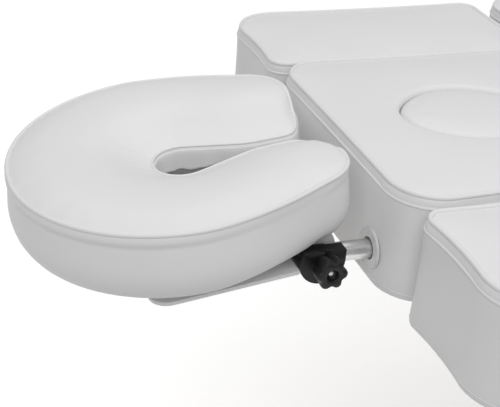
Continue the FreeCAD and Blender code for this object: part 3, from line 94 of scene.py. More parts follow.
def cells(tree, coords, scale):
    """Distance to the edge of small cells, as in a leather grain."""
    node = tree.nodes.new("ShaderNodeTexVoronoi")
    node.feature = "DISTANCE_TO_EDGE"
    node.inputs["Scale"].default_value = scale
    tree.links.new(coords, node.inputs["Vector"])
    return node.outputs["Distance"]


def roughened(tree, shader, value, low, high):
    """Roughness that runs over a range with a value from 0 to 1."""
    node = tree.nodes.new("ShaderNodeMapRange")
    node.inputs["To Min"].default_value = low
    node.inputs["To Max"].default_value = high
    tree.links.new(value, node.inputs["Value"])
    tree.links.new(node.outputs["Result"], shader.inputs["Roughness"])


def tinted(tree, shader, value, dark, light):
    """Base colour that runs between two colours."""
    ramp = tree.nodes.new("ShaderNodeValToRGB")
    ramp.color_ramp.elements[0].color = (*dark, 1.0)
    ramp.color_ramp.elements[1].color = (*light, 1.0)
    ramp.color_ramp.elements[0].position = RAMP_START
    ramp.color_ramp.elements[1].position = RAMP_END
    tree.links.new(value, ramp.inputs["Fac"])
    tree.links.new(ramp.outputs["Color"], shader.inputs["Base Color"])


def bumped(tree, shader, layers):
    """Bump from several heights, each a value, a strength and a depth."""
    normal = None
    for value, strength, depth in layers:
        bump = tree.nodes.new("ShaderNodeBump")
        bump.inputs["Strength"].default_value = strength
        bump.inputs["Distance"].default_value = depth
        tree.links.new(value, bump.inputs["Height"])
        if normal is not None:
            tree.links.new(normal, bump.inputs["Normal"])
        normal = bump.outputs["Normal"]
    tree.links.new(normal, shader.inputs["Normal"])


def shaded(colour, share):
    """Colour darkened to a share of itself."""
    return tuple(part * share for part in colour)


def leatherette(name, shade):
    """Smooth white synthetic leather: fine pebbled grain, faint mottling and a soft sheen."""
    material, tree, shader, coords = new_material(name, (shade, shade, shade), 0.45)
    mottling = noise(tree, coords, 9.0, 4.0)
    tinted(tree, shader, mottling, shaded((shade,) * 3, 0.975), (shade, shade, shade * 1.002))
    roughened(tree, shader, noise(tree, coords, 160.0), 0.38, 0.52)
    pebbles = cells(tree, coords, 900.0)
    waves = noise(tree, coords, 28.0, 2.0)
    bumped(tree, shader, [(pebbles, 0.12, 0.0003), (waves, 0.10, 0.002)])
    shader.inputs["Specular IOR Level"].default_value = 0.42
    shader.inputs["Coat Weight"].default_value = 0.06
    shader.inputs["Coat Roughness"].default_value = 0.35
    return material


def plywood(name):
    """Birch plywood: long grain with darker streaks."""
    material, tree, shader, coords = new_material(name, (0.6, 0.45, 0.29), 0.6)
    grain = noise(tree, stretched(tree, coords, (6.0, 70.0, 70.0)), 4.0, 6.0, 0.65)
    tinted(tree, shader, grain, (0.47, 0.33, 0.2), (0.68, 0.53, 0.36))
    roughened(tree, shader, grain, 0.5, 0.72)
    bumped(tree, shader, [(grain, 0.25, 0.0006)])
    return material


def painted(name, colour, roughness):
    """Powder coat: orange-peel bump and slight unevenness."""
    material, tree, shader, coords = new_material(name, colour, roughness)
    tinted(tree, shader, noise(tree, coords, 14.0), shaded(colour, 0.95), colour)
    roughened(tree, shader, noise(tree, coords, 90.0), roughness - 0.06, roughness + 0.08)
    orange_peel = noise(tree, coords, 700.0, 2.0)
    bumped(tree, shader, [(orange_peel, 0.12, 0.0003)])
    return material


def metal(name, colour, roughness, brush):
    """Bare or plated metal, with fine lines along one direction."""
    material, tree, shader, coords = new_material(name, colour, roughness, 1.0)
    lines = noise(tree, stretched(tree, coords, brush), 60.0, 4.0, 0.7)
    tinted(tree, shader, lines, shaded(colour, 0.9), colour)
    roughened(tree, shader, lines, roughness - 0.05, roughness + 0.1)
    bumped(tree, shader, [(lines, 0.08, 0.0002)])
    return material


def moulded(name, colour, roughness, specular=0.5):
    """Moulded plastic with a fine spark-eroded grain."""
    material, tree, shader, coords = new_material(name, colour, roughness)
    shader.inputs["Specular IOR Level"].default_value = specular
    tinted(tree, shader, noise(tree, coords, 30.0), shaded(colour, 0.85), colour)
    roughened(tree, shader, noise(tree, coords, 260.0), roughness - 0.08, roughness + 0.08)
    grain = noise(tree, coords, 1500.0, 2.0)
    bumped(tree, shader, [(grain, 0.15, 0.0002)])
    return material


LEATHER = leatherette("white_leatherette", 0.80)
LINING = moulded("dark_lining", (0.30, 0.30, 0.305), 0.8)
FINISHES = {
    "plywood": plywood("plywood"),
    "white_frame": painted("white_frame", (0.78, 0.78, 0.79), 0.38),
    "column_aluminium": metal("column_aluminium", (0.72, 0.73, 0.75), 0.34, (1.0, 1.0, 40.0)),
    "grey_bracket": painted("grey_bracket", (0.78, 0.78, 0.79), 0.38),
    "bright_steel": metal("bright_steel", (0.72, 0.72, 0.72), 0.26, (40.0, 1.0, 1.0)),
    "plain_steel": metal("plain_steel", (0.58, 0.58, 0.58), 0.36, (1.0, 30.0, 1.0)),
    "black_plastic": moulded("black_plastic", (0.010, 0.010, 0.011), 0.42, 0.28),
    "grey_plastic": moulded("grey_plastic", (0.4, 0.4, 0.41), 0.45),
    "pale_plastic": moulded("pale_plastic", (0.74, 0.74, 0.74), 0.4),
}
for row in frame["record"]["subparts"]:
    finish = FINISHES.get(row["material_slot"])
    if finish:
        mesh = NODES[row["node"]].data
        mesh.materials.clear()
        mesh.materials.append(finish)


# Outlines. Each is a closed ring of points, in step with the rings of other insets.

QUARTER_RISE = 1 - math.sqrt(0.5)       # rise of a quarter round over its chord, as a share of its radius
LEAST_CORNER = 0.002
LEAST_POINTS = 8


def bulged(points, bulges, counts):
    """Points along stretches that are lines or arcs of the given rise at their middle."""
    ring = []
    for index, (bulge, count) in enumerate(zip(bulges, counts)):
        start = np.array(points[index], float)
        end = np.array(points[(index + 1) % len(points)], float)
        run = end - start
        length = np.hypot(*run)
        side = np.array([run[1], -run[0]]) / length
        share = np.arange(count) / count
        if abs(bulge) < TINY:
            ring.append(start + share[:, None] * run)
            continue
        radius = (length ** 2 / 4 + bulge ** 2) / (2 * abs(bulge))
        half = math.asin(min(1.0, length / 2 / radius))
        if abs(bulge) > length / 2:
            half = math.pi - half
        angle = (2 * share - 1) * half
        along = length / 2 + radius * np.sin(angle)
        rise = math.copysign(1, bulge) * (radius * np.cos(angle) - radius * math.cos(half))
        ring.append(start + along[:, None] * run / length + rise[:, None] * side)
    return np.vstack(ring)


def pad_outline(length, width, corners, draws, step):
    """Ring maker of a pad's outline.

    The corners are near and far at low X, then both at high X. The draws say how far the near side, the
    high X end, the far side and the low X end are drawn in at their middle.
    """
    counts = None

    def ring(inset, pull=1.0):
        nonlocal counts
        half = width / 2 - inset
        start, end = inset, length - inset
        left, right, last = (max(corner - inset, LEAST_CORNER) for corner in corners)
        points = [
            (start + left, -half), (end - last, -half), (end, -half + last), (end, half - last),
            (end - last, half), (start + right, half), (start, half - right), (start, -half + left),
        ]
        if counts is None:
            runs = [math.dist(point, after) for point, after in zip(points, points[1:] + points[:1])]
            counts = [max(LEAST_POINTS, round(run / step)) for run in runs]
        near, tail, far, head = (draw * pull for draw in draws)
        left, right, last = left * QUARTER_RISE, right * QUARTER_RISE, last * QUARTER_RISE
        return bulged(points, [-near, last, -tail, last, -far, right, -head, left], counts)
    return ring


OVAL_COUNTS = [28, 24, 28, 24]


def oval_outline(length, width, end_radius):
    """Ring maker of the breathing hole's oval, about its middle."""
    def ring(inset):
        reach, half, radius = length / 2 - inset, width / 2 - inset, end_radius - inset
        end_place = reach - radius
        side_radius = (end_place ** 2 + half ** 2 - radius ** 2) / (2 * (half - radius))
        span = math.hypot(end_place, side_radius - half)
        x = end_place + end_place / span * radius
        y = (side_radius - half) / span * radius
        points = [(x, -y), (x, y), (-x, y), (-x, -y)]
        return bulged(points, [reach - x, half - y, reach - x, half - y], OVAL_COUNTS)
    return ring


# Horseshoe of the face cushion, along and across from its hinge
FACE = {
    "head": 0.272, "half": 0.165, "round": 0.112, "side_rise": 0.006, "tip": 0.044, "tip_side": 0.080,
    "shoulder": 0.036, "arm_half": 0.128, "mouth": 0.005, "mouth_run": 0.020, "throat": 0.0065,
    "throat_place": 0.025, "slot_radius": 0.029, "slot": 0.098, "tilt": math.radians(7.5),
}
SLOT_LEAD = 0.36
TIP_BOW = 0.2
MOUTH_BOW = 0.12
RING_SMOOTHING = 6
# Points along the head round, the side, the tip's outside, the tip's inside, the mouth, the throat and the
# slot's round
FACE_COUNTS = [44, 24, 12, 18, 12, 14, 26]
TIP_INDEX = sum(FACE_COUNTS[:3])
MOUTH_INDEX = sum(FACE_COUNTS[:4])
SLOT_INDEX = sum(FACE_COUNTS)


def horseshoe(inset, widen):
    """Ring of the face cushion: inset of its outside and widening of its slot."""
    head = FACE["head"] - inset
    half = FACE["half"] - inset
    tip = inset - FACE["tip"]
    tip_side = FACE["tip_side"]
    arm_half = FACE["arm_half"] - inset
    shoulder = tip + FACE["shoulder"]
    mouth = FACE["mouth"] + widen
    mouth_place = tip + FACE["mouth_run"]
    radius = FACE["slot_radius"] + widen
    slot = FACE["slot"]
    lead = radius * SLOT_LEAD
    across = math.sqrt(radius ** 2 - lead ** 2)
    upper = [
        (head, 0.0), (FACE["round"], half), (shoulder, arm_half), (tip, tip_side), (mouth_place, mouth),
        (FACE["throat_place"], FACE["throat"] + widen), (slot - lead, across), (slot + radius, 0.0),
    ]
    quarter = math.hypot(head - FACE["round"], half) / 2 * math.tan(math.pi / 8)
    tip_out = math.hypot(shoulder - tip, arm_half - tip_side) * TIP_BOW
    tip_in = math.hypot(mouth_place - tip, tip_side - mouth) * MOUTH_BOW
    slot_turn = math.pi - math.atan2(across, lead)
    slot_rise = radius * (1 - math.cos(slot_turn / 2))
    bulges = [quarter, FACE["side_rise"], tip_out, tip_in, 0.0, 0.0, -slot_rise]
    lower = [(u, -v) for u, v in reversed(upper[1:-1])]
    points = [(-u, -v) for u, v in upper + lower]
    ring = bulged(points, bulges + bulges[::-1], FACE_COUNTS + FACE_COUNTS[::-1])
    for _ in range(RING_SMOOTHING):
        ring = ring * 0.5 + (np.roll(ring, 1, 0) + np.roll(ring, -1, 0)) * 0.25
    return ring


# Meshes

def linked(name, data):
    """New object in the scene."""
    obj = bpy.data.objects.new(name, data)
    bpy.context.scene.collection.objects.link(obj)
    return obj


def drawn(name, bm):
    """Object of a bmesh, which is freed."""
    mesh = bpy.data.meshes.new(name)
    bm.to_mesh(mesh)
    bm.free()
    return linked(name, mesh)


def closed_object(name, points, faces):
    """Object of a closed mesh, with its faces turned outwards."""
    mesh = bpy.data.meshes.new(name)
    mesh.from_pydata(points.tolist(), [], faces)
    bm = bmesh.new()
    bm.from_mesh(mesh)
    bmesh.ops.recalc_face_normals(bm, faces=bm.faces)
    bm.to_mesh(mesh)
    bm.free()
    mesh.update()
    return linked(name, mesh)


def swept(name, rings, loop=False):
    """Object through a row of rings, either a loop or capped at its two ends."""
    count, sides = rings.shape[:2]
    faces = []
    for a in range(count if loop else count - 1):
        b = (a + 1) % count
        for k in range(sides):
            m = (k + 1) % sides
            faces.append((a * sides + k, a * sides + m, b * sides + m, b * sides + k))
    if not loop:
        faces.append(tuple(range(sides)))
        faces.append(tuple((count - 1) * sides + k for k in range(sides)))
    return closed_object(name, rings.reshape(-1, 3), faces)


def tube(name, line, radius, sides=8):
    """Round tube along a closed line of points."""
    radius = np.broadcast_to(np.asarray(radius, float), (len(line),))[:, None, None]
    run = np.roll(line, -1, 0) - np.roll(line, 1, 0)
    run /= np.linalg.norm(run, axis=1)[:, None]
    across = np.cross(run, [0.0, 0.0, 1.0])
    across /= np.linalg.norm(across, axis=1)[:, None]
    over = np.cross(across, run)
    turn = np.arange(sides) * 2 * math.pi / sides
    rings = line[:, None] + radius * (np.cos(turn)[None, :, None] * across[:, None]
                                      + np.sin(turn)[None, :, None] * over[:, None])
    return swept(name, rings, loop=True)


def subtract(obj, tool):
    """Cut a tool's shape out of a piece and drop the tool."""
    cut = obj.modifiers.new("cut", "BOOLEAN")
    cut.operation = "DIFFERENCE"
    cut.solver = "EXACT"
    cut.object = tool
    bpy.context.view_layer.update()
    result = bpy.data.meshes.new_from_object(obj.evaluated_get(bpy.context.evaluated_depsgraph_get()))
    obj.modifiers.remove(cut)
    obj.data = result
    bpy.data.objects.remove(tool)


DRILL_SIDES = 64


def drill(obj, centre, radius, half, axis="X"):
    """Cut a round passage out of a cover, about a centre and half its length each way along X or Y."""
    bm = bmesh.new()
    bmesh.ops.create_cone(bm, cap_ends=True, segments=DRILL_SIDES, radius1=radius, radius2=radius, depth=half * 2)
    tool = drawn("passage", bm)
    turn = Matrix.Rotation(math.pi / 2, 4, "Y" if axis == "X" else "X")
    tool.matrix_world = Matrix.Translation(centre) @ turn
    subtract(obj, tool)


def place_mesh(obj, matrix):
    """Move a piece's mesh to its place, while its object stays at the origin."""
    obj.data.transform(matrix)
    obj.data.update()


def finish_piece(obj, body, material=LEATHER):
    """Material, smooth shading and body of a piece."""
    obj.data.materials.clear()
    obj.data.materials.append(material)
    obj.data.polygons.foreach_set("use_smooth", [True] * len(obj.data.polygons))
    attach(obj, body)


# Cushion covers

def inside(points, ring):
    """Which points lie inside a closed ring."""
    x, y = points[:, 0][:, None], points[:, 1][:, None]
    ax, ay = ring[:, 0], ring[:, 1]
    bx, by = np.roll(ax, -1), np.roll(ay, -1)
    crosses = (ay > y) != (by > y)
    at = ax + (y - ay) / np.where(by == ay, TINY, by - ay) * (bx - ax)
    return (crosses & (x < at)).sum(1) % 2 == 1


NEAREST_BATCH = 2000


def nearest(points, ring):
    """Distance of each point from a ring, worked out in batches to save memory."""
    found = np.empty(len(points))
    for start in range(0, len(points), NEAREST_BATCH):
        part = points[start:start + NEAREST_BATCH]
        found[start:start + NEAREST_BATCH] = np.sqrt(((part[:, None] - ring[None]) ** 2).sum(2)).min(1)
    return found


def domed(base, rise, edge, run):
    """Height of a cap that rises from its edge."""
    return lambda points: base + rise * (1 - np.exp(-nearest(points, edge) / run))


def level(height):
    """Height of a flat cap."""
    return lambda points: np.full(len(points), height)


CLOTH_FRAMES = 20
CLOTH = {
    "quality": 5, "mass": 0.25, "tension_stiffness": 12, "compression_stiffness": 12, "shear_stiffness": 5,
    "bending_stiffness": 0.6, "use_pressure": True, "uniform_pressure_force": 4.0, "vertex_group_mass": "held",
}


def puff(obj, held, caps):
    """Inflate a cover with cloth pressure while its seams and underside are held, then keep the result."""
    scene = bpy.context.scene
    group = obj.vertex_groups.new(name="held")
    group.add([int(i) for i in np.flatnonzero(held)], 1.0, "REPLACE")
    cloth = obj.modifiers.new("Cloth", "CLOTH")
    for name, value in CLOTH.items():
        setattr(cloth.settings, name, value)
    cloth.settings.effector_weights.gravity = 0.0
    cloth.point_cache.frame_start = 1
    cloth.point_cache.frame_end = CLOTH_FRAMES
    rest = np.array([v.co for v in obj.data.vertices])
    for number in range(1, CLOTH_FRAMES + 1):
        scene.frame_set(number)
    blown = obj.evaluated_get(bpy.context.evaluated_depsgraph_get())
    moved = np.array([v.co for v in blown.to_mesh().vertices])
    blown.to_mesh_clear()
    obj.modifiers.remove(cloth)
    obj.vertex_groups.clear()
    scene.frame_set(1)
    shift = moved - rest
    size = np.linalg.norm(shift, axis=1)
    soft = caps * np.tanh(size / np.maximum(caps, TINY))
    shift *= (soft / np.maximum(size, TINY))[:, None]
    obj.data.vertices.foreach_set("co", (rest + shift).ravel())
    obj.data.update()


EDGE_CLEARANCE = 0.7        # least distance of a cap's grid from its rings, as a share of the grid's spacing
MERGE_DISTANCE = 1e-7


class Shell:
    """Cover of a cushion, built from rings and filled caps.

    Each point is held or free in the cloth simulation, and has a cap on how far it may move.
    """

    def __init__(self):
        self.points, self.held, self.caps = [], [], []
        self.faces = []
        self.count = 0

    def add(self, ring, height, held, cap):
        """Add points at a height, or each at its own, and return their numbers."""
        size = (len(ring),)
        self.points.append(np.column_stack([ring, np.broadcast_to(np.asarray(height, float), size)]))
        self.held.append(np.broadcast_to(held, size))
        self.caps.append(np.broadcast_to(cap, size))
        first = self.count
        self.count += len(ring)
        return np.arange(first, self.count)

    def bands(self, rings):
        """Faces between rings that follow each other upwards."""
        for lower, upper in zip(rings, rings[1:]):
            after = np.roll(lower, -1), np.roll(upper, -1)
            self.faces.extend(zip(lower, after[0], after[1], upper))

    def cap(self, outer, outer_ring, holes, height, spacing, up, held, cap):
        """Fill between an outer ring and hole rings, at heights given by a function of the points."""
        rings = [outer_ring] + [ring for _, ring in holes]

        def filled(points):
            keep = inside(points, outer_ring)
            for ring in rings[1:]:
                keep &= ~inside(points, ring)
            return keep

        low, high = outer_ring.min(0), outer_ring.max(0)
        xs = np.arange(low[0], high[0], spacing)
        ys = np.arange(low[1], high[1], spacing)
        grid = np.stack(np.meshgrid(xs, ys), -1).reshape(-1, 2)
        odd_row = (np.arange(len(grid)) // len(xs)) % 2
        grid[:, 0] += odd_row * spacing / 2
        grid = grid[filled(grid)]
        grid = grid[nearest(grid, np.vstack(rings)) > spacing * EDGE_CLEARANCE]
        ids = np.concatenate([outer] + [hole for hole, _ in holes])
        ids = np.concatenate([ids, self.add(grid, height(grid), held, cap)])
        flat = np.vstack(rings + [grid])
        edges = []
        first = 0
        for ring in rings:
            edges += [(first + i, first + (i + 1) % len(ring)) for i in range(len(ring))]
            first += len(ring)
        _, _, faces, origin, _, _ = geometry.delaunay_2d_cdt(
            [Vector(point) for point in flat], edges, [], 0, MERGE_DISTANCE)
        corners = np.array([[origin[v][0] for v in face] for face in faces])
        for face in corners[filled(flat[corners].mean(1))]:
            loop = [ids[v] for v in face]
            self.faces.append(tuple(loop if up else loop[::-1]))

    def build(self, name):
        """The cover's object, puffed up."""
        faces = [tuple(int(v) for v in face) for face in self.faces]
        obj = closed_object(name, np.vstack(self.points), faces)
        puff(obj, np.concatenate(self.held), np.concatenate(self.caps))
        return obj


# Pads: heights are measured from the top seam

CROWN = 0.007
CROWN_REACH = 0.023
FIRST_CROWN = 0.6           # share of the crown that is drawn, before the cover is puffed up
SEAM_INSET = 0.005
# Inset of the side's rings: above the underside, and up to the seam
FOOT_LEVELS = [(0.006, 0.0), (0.0028, 0.0004), (0.001, 0.0014), (0.0001, 0.0036)]
SEAM_LEVELS = [(0.0, -0.010), (0.0003, -0.0062), (0.0012, -0.003), (0.0028, -0.0008), (SEAM_INSET, 0.0)]
# Inset of the rings under a cover that is drawn down round its board, and their share of the drop
TUCK_LEVELS = [(0.026, 0.0), (0.0245, 0.5), (0.022, 0.9)]
SIDE_START, SIDE_END, SIDE_STEP, SIDE_DRAW = 0.013, -0.016, 0.008, 0.0006
LEAST_SIDE_RINGS = 4
TOP_INSETS = (0.0075, 0.011, 0.0155)
TOP_PULL = 0.8              # share of the drawn-in sides that the top rings follow
TOP_SPACING, FOOT_SPACING = 1.1, 0.03
HELD_FOOT = 0.005
SIDE_CAP, EDGE_CAP, TOP_CAP = 0.0010, 0.003, 0.0055
# Widening and height of the breathing hole's rings, then the same above the underside
RIM_TOP, RIM_BLEND, RIM_CAP, FREE_RIMS = 0.0056, 0.012, 0.001, 2
RIM_LEVELS = [
    (-0.014, RIM_TOP), (-0.009, 0.0055), (-0.005, 0.0049), (-0.0022, 0.0036), (-0.0006, 0.0014),
    (0.0, -0.002), (0.0, -0.012), (0.0, -0.030), (0.0, -0.05), (0.0, -0.075),
]
RIM_FOOT = [(0.0, 0.006), (-0.0025, 0.001), (-0.006, 0.0)]
# Inset, height and radius of the piped seams. The lowest is measured from the cover's lower edge.
PAD_WELTS = {"welt_top": (0.0040, 0.0003, 0.0026), "welt_side": (0.0008, -0.0105, 0.0018)}
LOW_WELT = (0.0010, 0.0070, 0.0014)


def crown_height(distance):
    """Height of a pad's top at a distance from its seam, before the cover is puffed up."""
    return FIRST_CROWN * CROWN * (1 - np.exp(-np.maximum(distance, 0.0) / CROWN_REACH))


def side_levels(thick, drop):
    """Inset and height of a pad's side rings, from the underside to the seam."""
    levels = [(inset, height - thick - drop) for inset, height in FOOT_LEVELS]
    if drop:
        levels = [(inset, -thick - drop * share) for inset, share in TUCK_LEVELS] + levels
    low, high = SIDE_START - thick, SIDE_END
    for share in np.linspace(0, 1, max(LEAST_SIDE_RINGS, round((high - low) / SIDE_STEP))):
        levels.append((SIDE_DRAW * math.sin(math.pi * share), low + share * (high - low)))
    return levels + SEAM_LEVELS


def pad_cushion(node, body, corners, draws, step, hole=None, bores=(), drop=0.0):
    """Wide crowned cushion with piped seams at its top edge, below that and near its underside.

    The hole is a ring maker and its distance from the low X end. Each bore is its Y, Z, radius and depth. The
    drop is how far the cover is drawn down round the board.
    """
    low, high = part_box(node)
    seam = high.z - CROWN
    thick = seam - low.z
    ring = pad_outline(high.x - low.x, high.y - low.y, corners, draws, step)
    shell = Shell()
    levels = side_levels(thick, drop)
    rings = []
    for index, (inset, height) in enumerate(levels):
        held = height < HELD_FOOT - thick or index >= len(levels) - 2
        rings.append(shell.add(ring(inset), height, held, 0.0 if held else SIDE_CAP))
    for inset in TOP_INSETS:
        rings.append(shell.add(ring(inset, TOP_PULL), crown_height(inset - SEAM_INSET), False, EDGE_CAP))
    shell.bands(rings)
    holes_top, holes_low = [], []
    if hole:
        wall, place = hole
        rims = []
        for inset, height in RIM_LEVELS + [(inset, height - thick) for inset, height in RIM_FOOT]:
            held = len(rims) >= FREE_RIMS
            points = wall(inset) + np.array([place, 0.0])
            rims.append((shell.add(points, height, held, 0.0 if held else RIM_CAP), points))
        for (upper, _), (lower, _) in zip(rims, rims[1:]):
            shell.bands([lower, upper])
        holes_top, holes_low = rims[:1], rims[-1:]
    outline = ring(SEAM_INSET)

    def top_height(points):
        rise = crown_height(nearest(points, outline))
        for _, rim in holes_top:
            rise = rise + (RIM_TOP - rise) * np.exp(-(nearest(points, rim) / RIM_BLEND) ** 2)
        return rise

    top_ring, foot_ring = ring(TOP_INSETS[-1], TOP_PULL), ring(levels[0][0])
    shell.cap(rings[-1], top_ring, holes_top, top_height, step * TOP_SPACING, True, False, TOP_CAP)
    shell.cap(rings[0], foot_ring, holes_low, level(-thick), FOOT_SPACING, False, True, 0.0)
    obj = shell.build(node + "_cover")
    spot = Matrix.Translation((low.x, (low.y + high.y) / 2, seam))
    place_mesh(obj, spot)
    for y, z, radius, depth in bores:
        drill(obj, (low.x, y, z), radius, depth)
    finish_piece(obj, body)
    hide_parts(node)
    inset, rise, radius = LOW_WELT
    for label, (inset, height, radius) in {**PAD_WELTS, "welt_low": (inset, rise - thick - drop, radius)}.items():
        line = ring(inset)
        piece = tube(f"{node}_{label}", np.column_stack([line, np.full(len(line), height)]), radius)
        place_mesh(piece, spot)
        finish_piece(piece, body)


HOLE = oval_outline(0.160, 0.130, 0.050)
HOLE_FROM_HEAD = 0.162
ROD_SIDE, ROD_Z, BORE_RADIUS, BORE_DEPTH = 0.115, 0.519, 0.0145, 0.198
HEAD_DROP = 0.0065
DRAW = 0.003
WIDE, ARM, TIGHT = 0.050, 0.062, 0.022          # corner radii
FINE, COARSE = 0.007, 0.010                     # steps between points
HEAD_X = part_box("head_cushion")[0].x
bores = [(side * ROD_SIDE, ROD_Z, BORE_RADIUS, BORE_DEPTH) for side in (-1, 1)]
pad_cushion("head_cushion", "back", (WIDE, WIDE, TIGHT), (DRAW, 0.001, DRAW, 0.0008), FINE,
            hole=(HOLE, HOLE_FROM_HEAD), bores=bores, drop=HEAD_DROP)
pad_cushion("back_cushion", "back", (WIDE, WIDE, TIGHT), (DRAW, 0.001, DRAW, 0.002), COARSE)
pad_cushion("seat_cushion", "lift_frame", (TIGHT, TIGHT, TIGHT), (DRAW, 0.001, DRAW, 0.001), COARSE)
pad_cushion("leg_cushion", "leg", (TIGHT, TIGHT, WIDE), (DRAW, DRAW, DRAW, 0.001), COARSE)
pad_cushion("arm_near_cushion", "arm_near", (ARM, TIGHT, TIGHT), (DRAW, 0.002, DRAW, DRAW), FINE)
pad_cushion("arm_far_cushion", "arm_far", (TIGHT, ARM, TIGHT), (DRAW, 0.002, DRAW, DRAW), FINE)


# Plug: insets are measured from its gap in the hole, heights from the head cushion's seam

PLUG_CROWN, PLUG_GAP, PLUG_CLEARANCE = 0.006, 0.0012, 0.0004
PLUG_FOOT = [(0.007, 0.0), (0.0025, 0.0015), (0.0, 0.006)]          # heights above its underside
PLUG_SIDE_START, PLUG_SIDE_END, PLUG_SIDE_RINGS = 0.012, -0.014, 10
PLUG_TOP = [(0.0, -0.005), (0.0, 0.0012), (0.0009, 0.0038), (0.0032, 0.0064), (0.0072, 0.0082), (0.013, 0.0091)]
PLUG_RISE, PLUG_RUN = 0.001, 0.02
PLUG_SPACING, PLUG_FOOT_SPACING = 0.006, 0.02
PLUG_CAP, FREE_PLUG_RINGS = 0.002, 2


def plug():
    """Oval cushion in the breathing hole."""
    low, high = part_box("face_plug")
    seam = high.z - PLUG_CROWN
    thick = seam - low.z - PLUG_CLEARANCE
    levels = [(inset, height - thick) for inset, height in PLUG_FOOT]
    levels += [(0.0, z) for z in np.linspace(PLUG_SIDE_START - thick, PLUG_SIDE_END, PLUG_SIDE_RINGS)]
    levels += PLUG_TOP
    shell = Shell()
    rings = []
    for index, (inset, height) in enumerate(levels):
        held = index < len(levels) - FREE_PLUG_RINGS
        rings.append(shell.add(HOLE(PLUG_GAP + inset), height, held, 0.0 if held else PLUG_CAP))
    shell.bands(rings)
    edge, foot = HOLE(PLUG_GAP + levels[-1][0]), HOLE(PLUG_GAP + levels[0][0])
    dome = domed(levels[-1][1], PLUG_RISE, edge, PLUG_RUN)
    shell.cap(rings[-1], edge, [], dome, PLUG_SPACING, True, False, PLUG_CAP)
    shell.cap(rings[0], foot, [], level(-thick), PLUG_FOOT_SPACING, False, True, 0.0)
    obj = shell.build("face_plug_cover")
    place_mesh(obj, Matrix.Translation((HEAD_X + HOLE_FROM_HEAD, 0.0, seam)))
    finish_piece(obj, "face_plug")
    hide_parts("face_plug")


plug()


# Face cushion: heights are measured from the hinge axis, square to the tilted cushion

HINGE_X, HINGE_Z = HEAD_X - 0.058, ROD_Z
FACE_SPOT = Matrix.Translation((HINGE_X, 0.0, HINGE_Z)) @ Matrix.Rotation(-FACE["tilt"], 4, "Y")
FACE_BOTTOM, FACE_SEAM, FACE_TOP = 0.010, 0.087, 0.096
# Height, inset of the outside and widening of the slot
FACE_LEVELS = np.array([
    (0.0100, 0.0300, 0.0050), (0.0131, 0.0180, 0.0037), (0.0200, 0.0084, 0.0019), (0.0323, 0.0018, 0.0006),
    (0.0447, 0.0000, 0.0000), (0.0654, 0.0000, 0.0000), (0.0681, 0.0000, 0.0012), (0.0701, 0.0000, 0.0037),
    (0.0739, 0.0000, 0.0124), (0.0793, 0.0000, 0.0236), (0.0870, 0.0000, 0.0372), (0.0906, 0.0039, 0.0440),
    (0.0940, 0.0129, 0.0521), (0.0960, 0.0300, 0.0620),
])
FACE_HEIGHTS = [
    FACE_BOTTOM, 0.0108, 0.0120, 0.0140, 0.0168, 0.0200, 0.0245, 0.0300, 0.0360, 0.0420, 0.0480, 0.0540, 0.0590,
    0.0625, 0.0650, 0.0666, 0.0678, 0.0690, 0.0702, 0.0720, 0.0742, 0.0767, 0.0793, 0.0820, 0.0848, FACE_SEAM,
    0.0878, 0.0888, 0.0900, 0.0914, 0.0929, 0.0942, 0.0952, FACE_TOP,
]
FACE_HELD = 0.0121              # the cover is held up to here, and in the slot up to a little above its rim
RIM_HEIGHT, RIM_HOLD = 0.0688, 0.002
FACE_SIDE_CAP, FACE_TOP_CAP = 0.0012, 0.002
FACE_RISE, FACE_RUN = 0.0008, 0.015
FACE_SPACING, FACE_FOOT_SPACING = 0.007, 0.012
CREASE_HEIGHT = 0.0745
CREASE_ROLL, SIDE_BULGE, LOW_BULGE = 0.0024, 0.0046, 0.0025
BULGE_FULL, BULGE_POWER, LOW_FROM = 0.4, 0.7, 0.7           # shares of the way from the crease to the underside
BULGE_RUN, LEAST_BULGE = 0.16, 0.25
WELT_RADIUS, WELT_INSET, WELT_RISE, WELT_THINNING = 0.0023, 0.0008, 0.0007, 0.0009
EAR_INNER, RELIEF_RADIUS, RELIEF_HALF = 0.0975, 0.0255, 0.05


def limited(first, second):
    """Slope between two neighbours that doesn't overshoot."""
    total = first + second
    return np.where(first * second > 0, 2 * first * second / np.where(total == 0, 1.0, total), 0.0)


def face_level(height):
    """Insets of the face cushion at a height, smoothly between its levels."""
    table = FACE_LEVELS
    at = int(np.clip(np.searchsorted(table[:, 0], height) - 1, 0, len(table) - 2))
    a, b = table[at], table[at + 1]
    before, after = table[max(at - 1, 0)], table[min(at + 2, len(table) - 1)]
    run = b[0] - a[0]
    share = (height - a[0]) / run
    flat = (b[1:] - a[1:]) / run
    slope_a = limited((a[1:] - before[1:]) / max(a[0] - before[0], TINY), flat) * run
    slope_b = limited(flat, (after[1:] - b[1:]) / max(after[0] - b[0], TINY)) * run
    s2, s3 = share ** 2, share ** 3
    return ((2 * s3 - 3 * s2 + 1) * a[1:] + (s3 - 2 * s2 + share) * slope_a
            + (3 * s2 - 2 * s3) * b[1:] + (s3 - s2) * slope_b)


def side_bulge(height):
    """Bulge of the padded side: a soft crease a little below the welt, and fullest low down."""
    if height >= CREASE_HEIGHT:
        share = min(1.0, (height - CREASE_HEIGHT) / (FACE_SEAM - CREASE_HEIGHT))
        return CREASE_ROLL * math.sin(math.pi * share)
    share = (CREASE_HEIGHT - height) / (CREASE_HEIGHT - FACE_BOTTOM)
    low_share = max(0.0, (share - LOW_FROM) / (1 - LOW_FROM))
    return SIDE_BULGE * min(1.0, share / BULGE_FULL) ** BULGE_POWER + LOW_BULGE * low_share ** 2


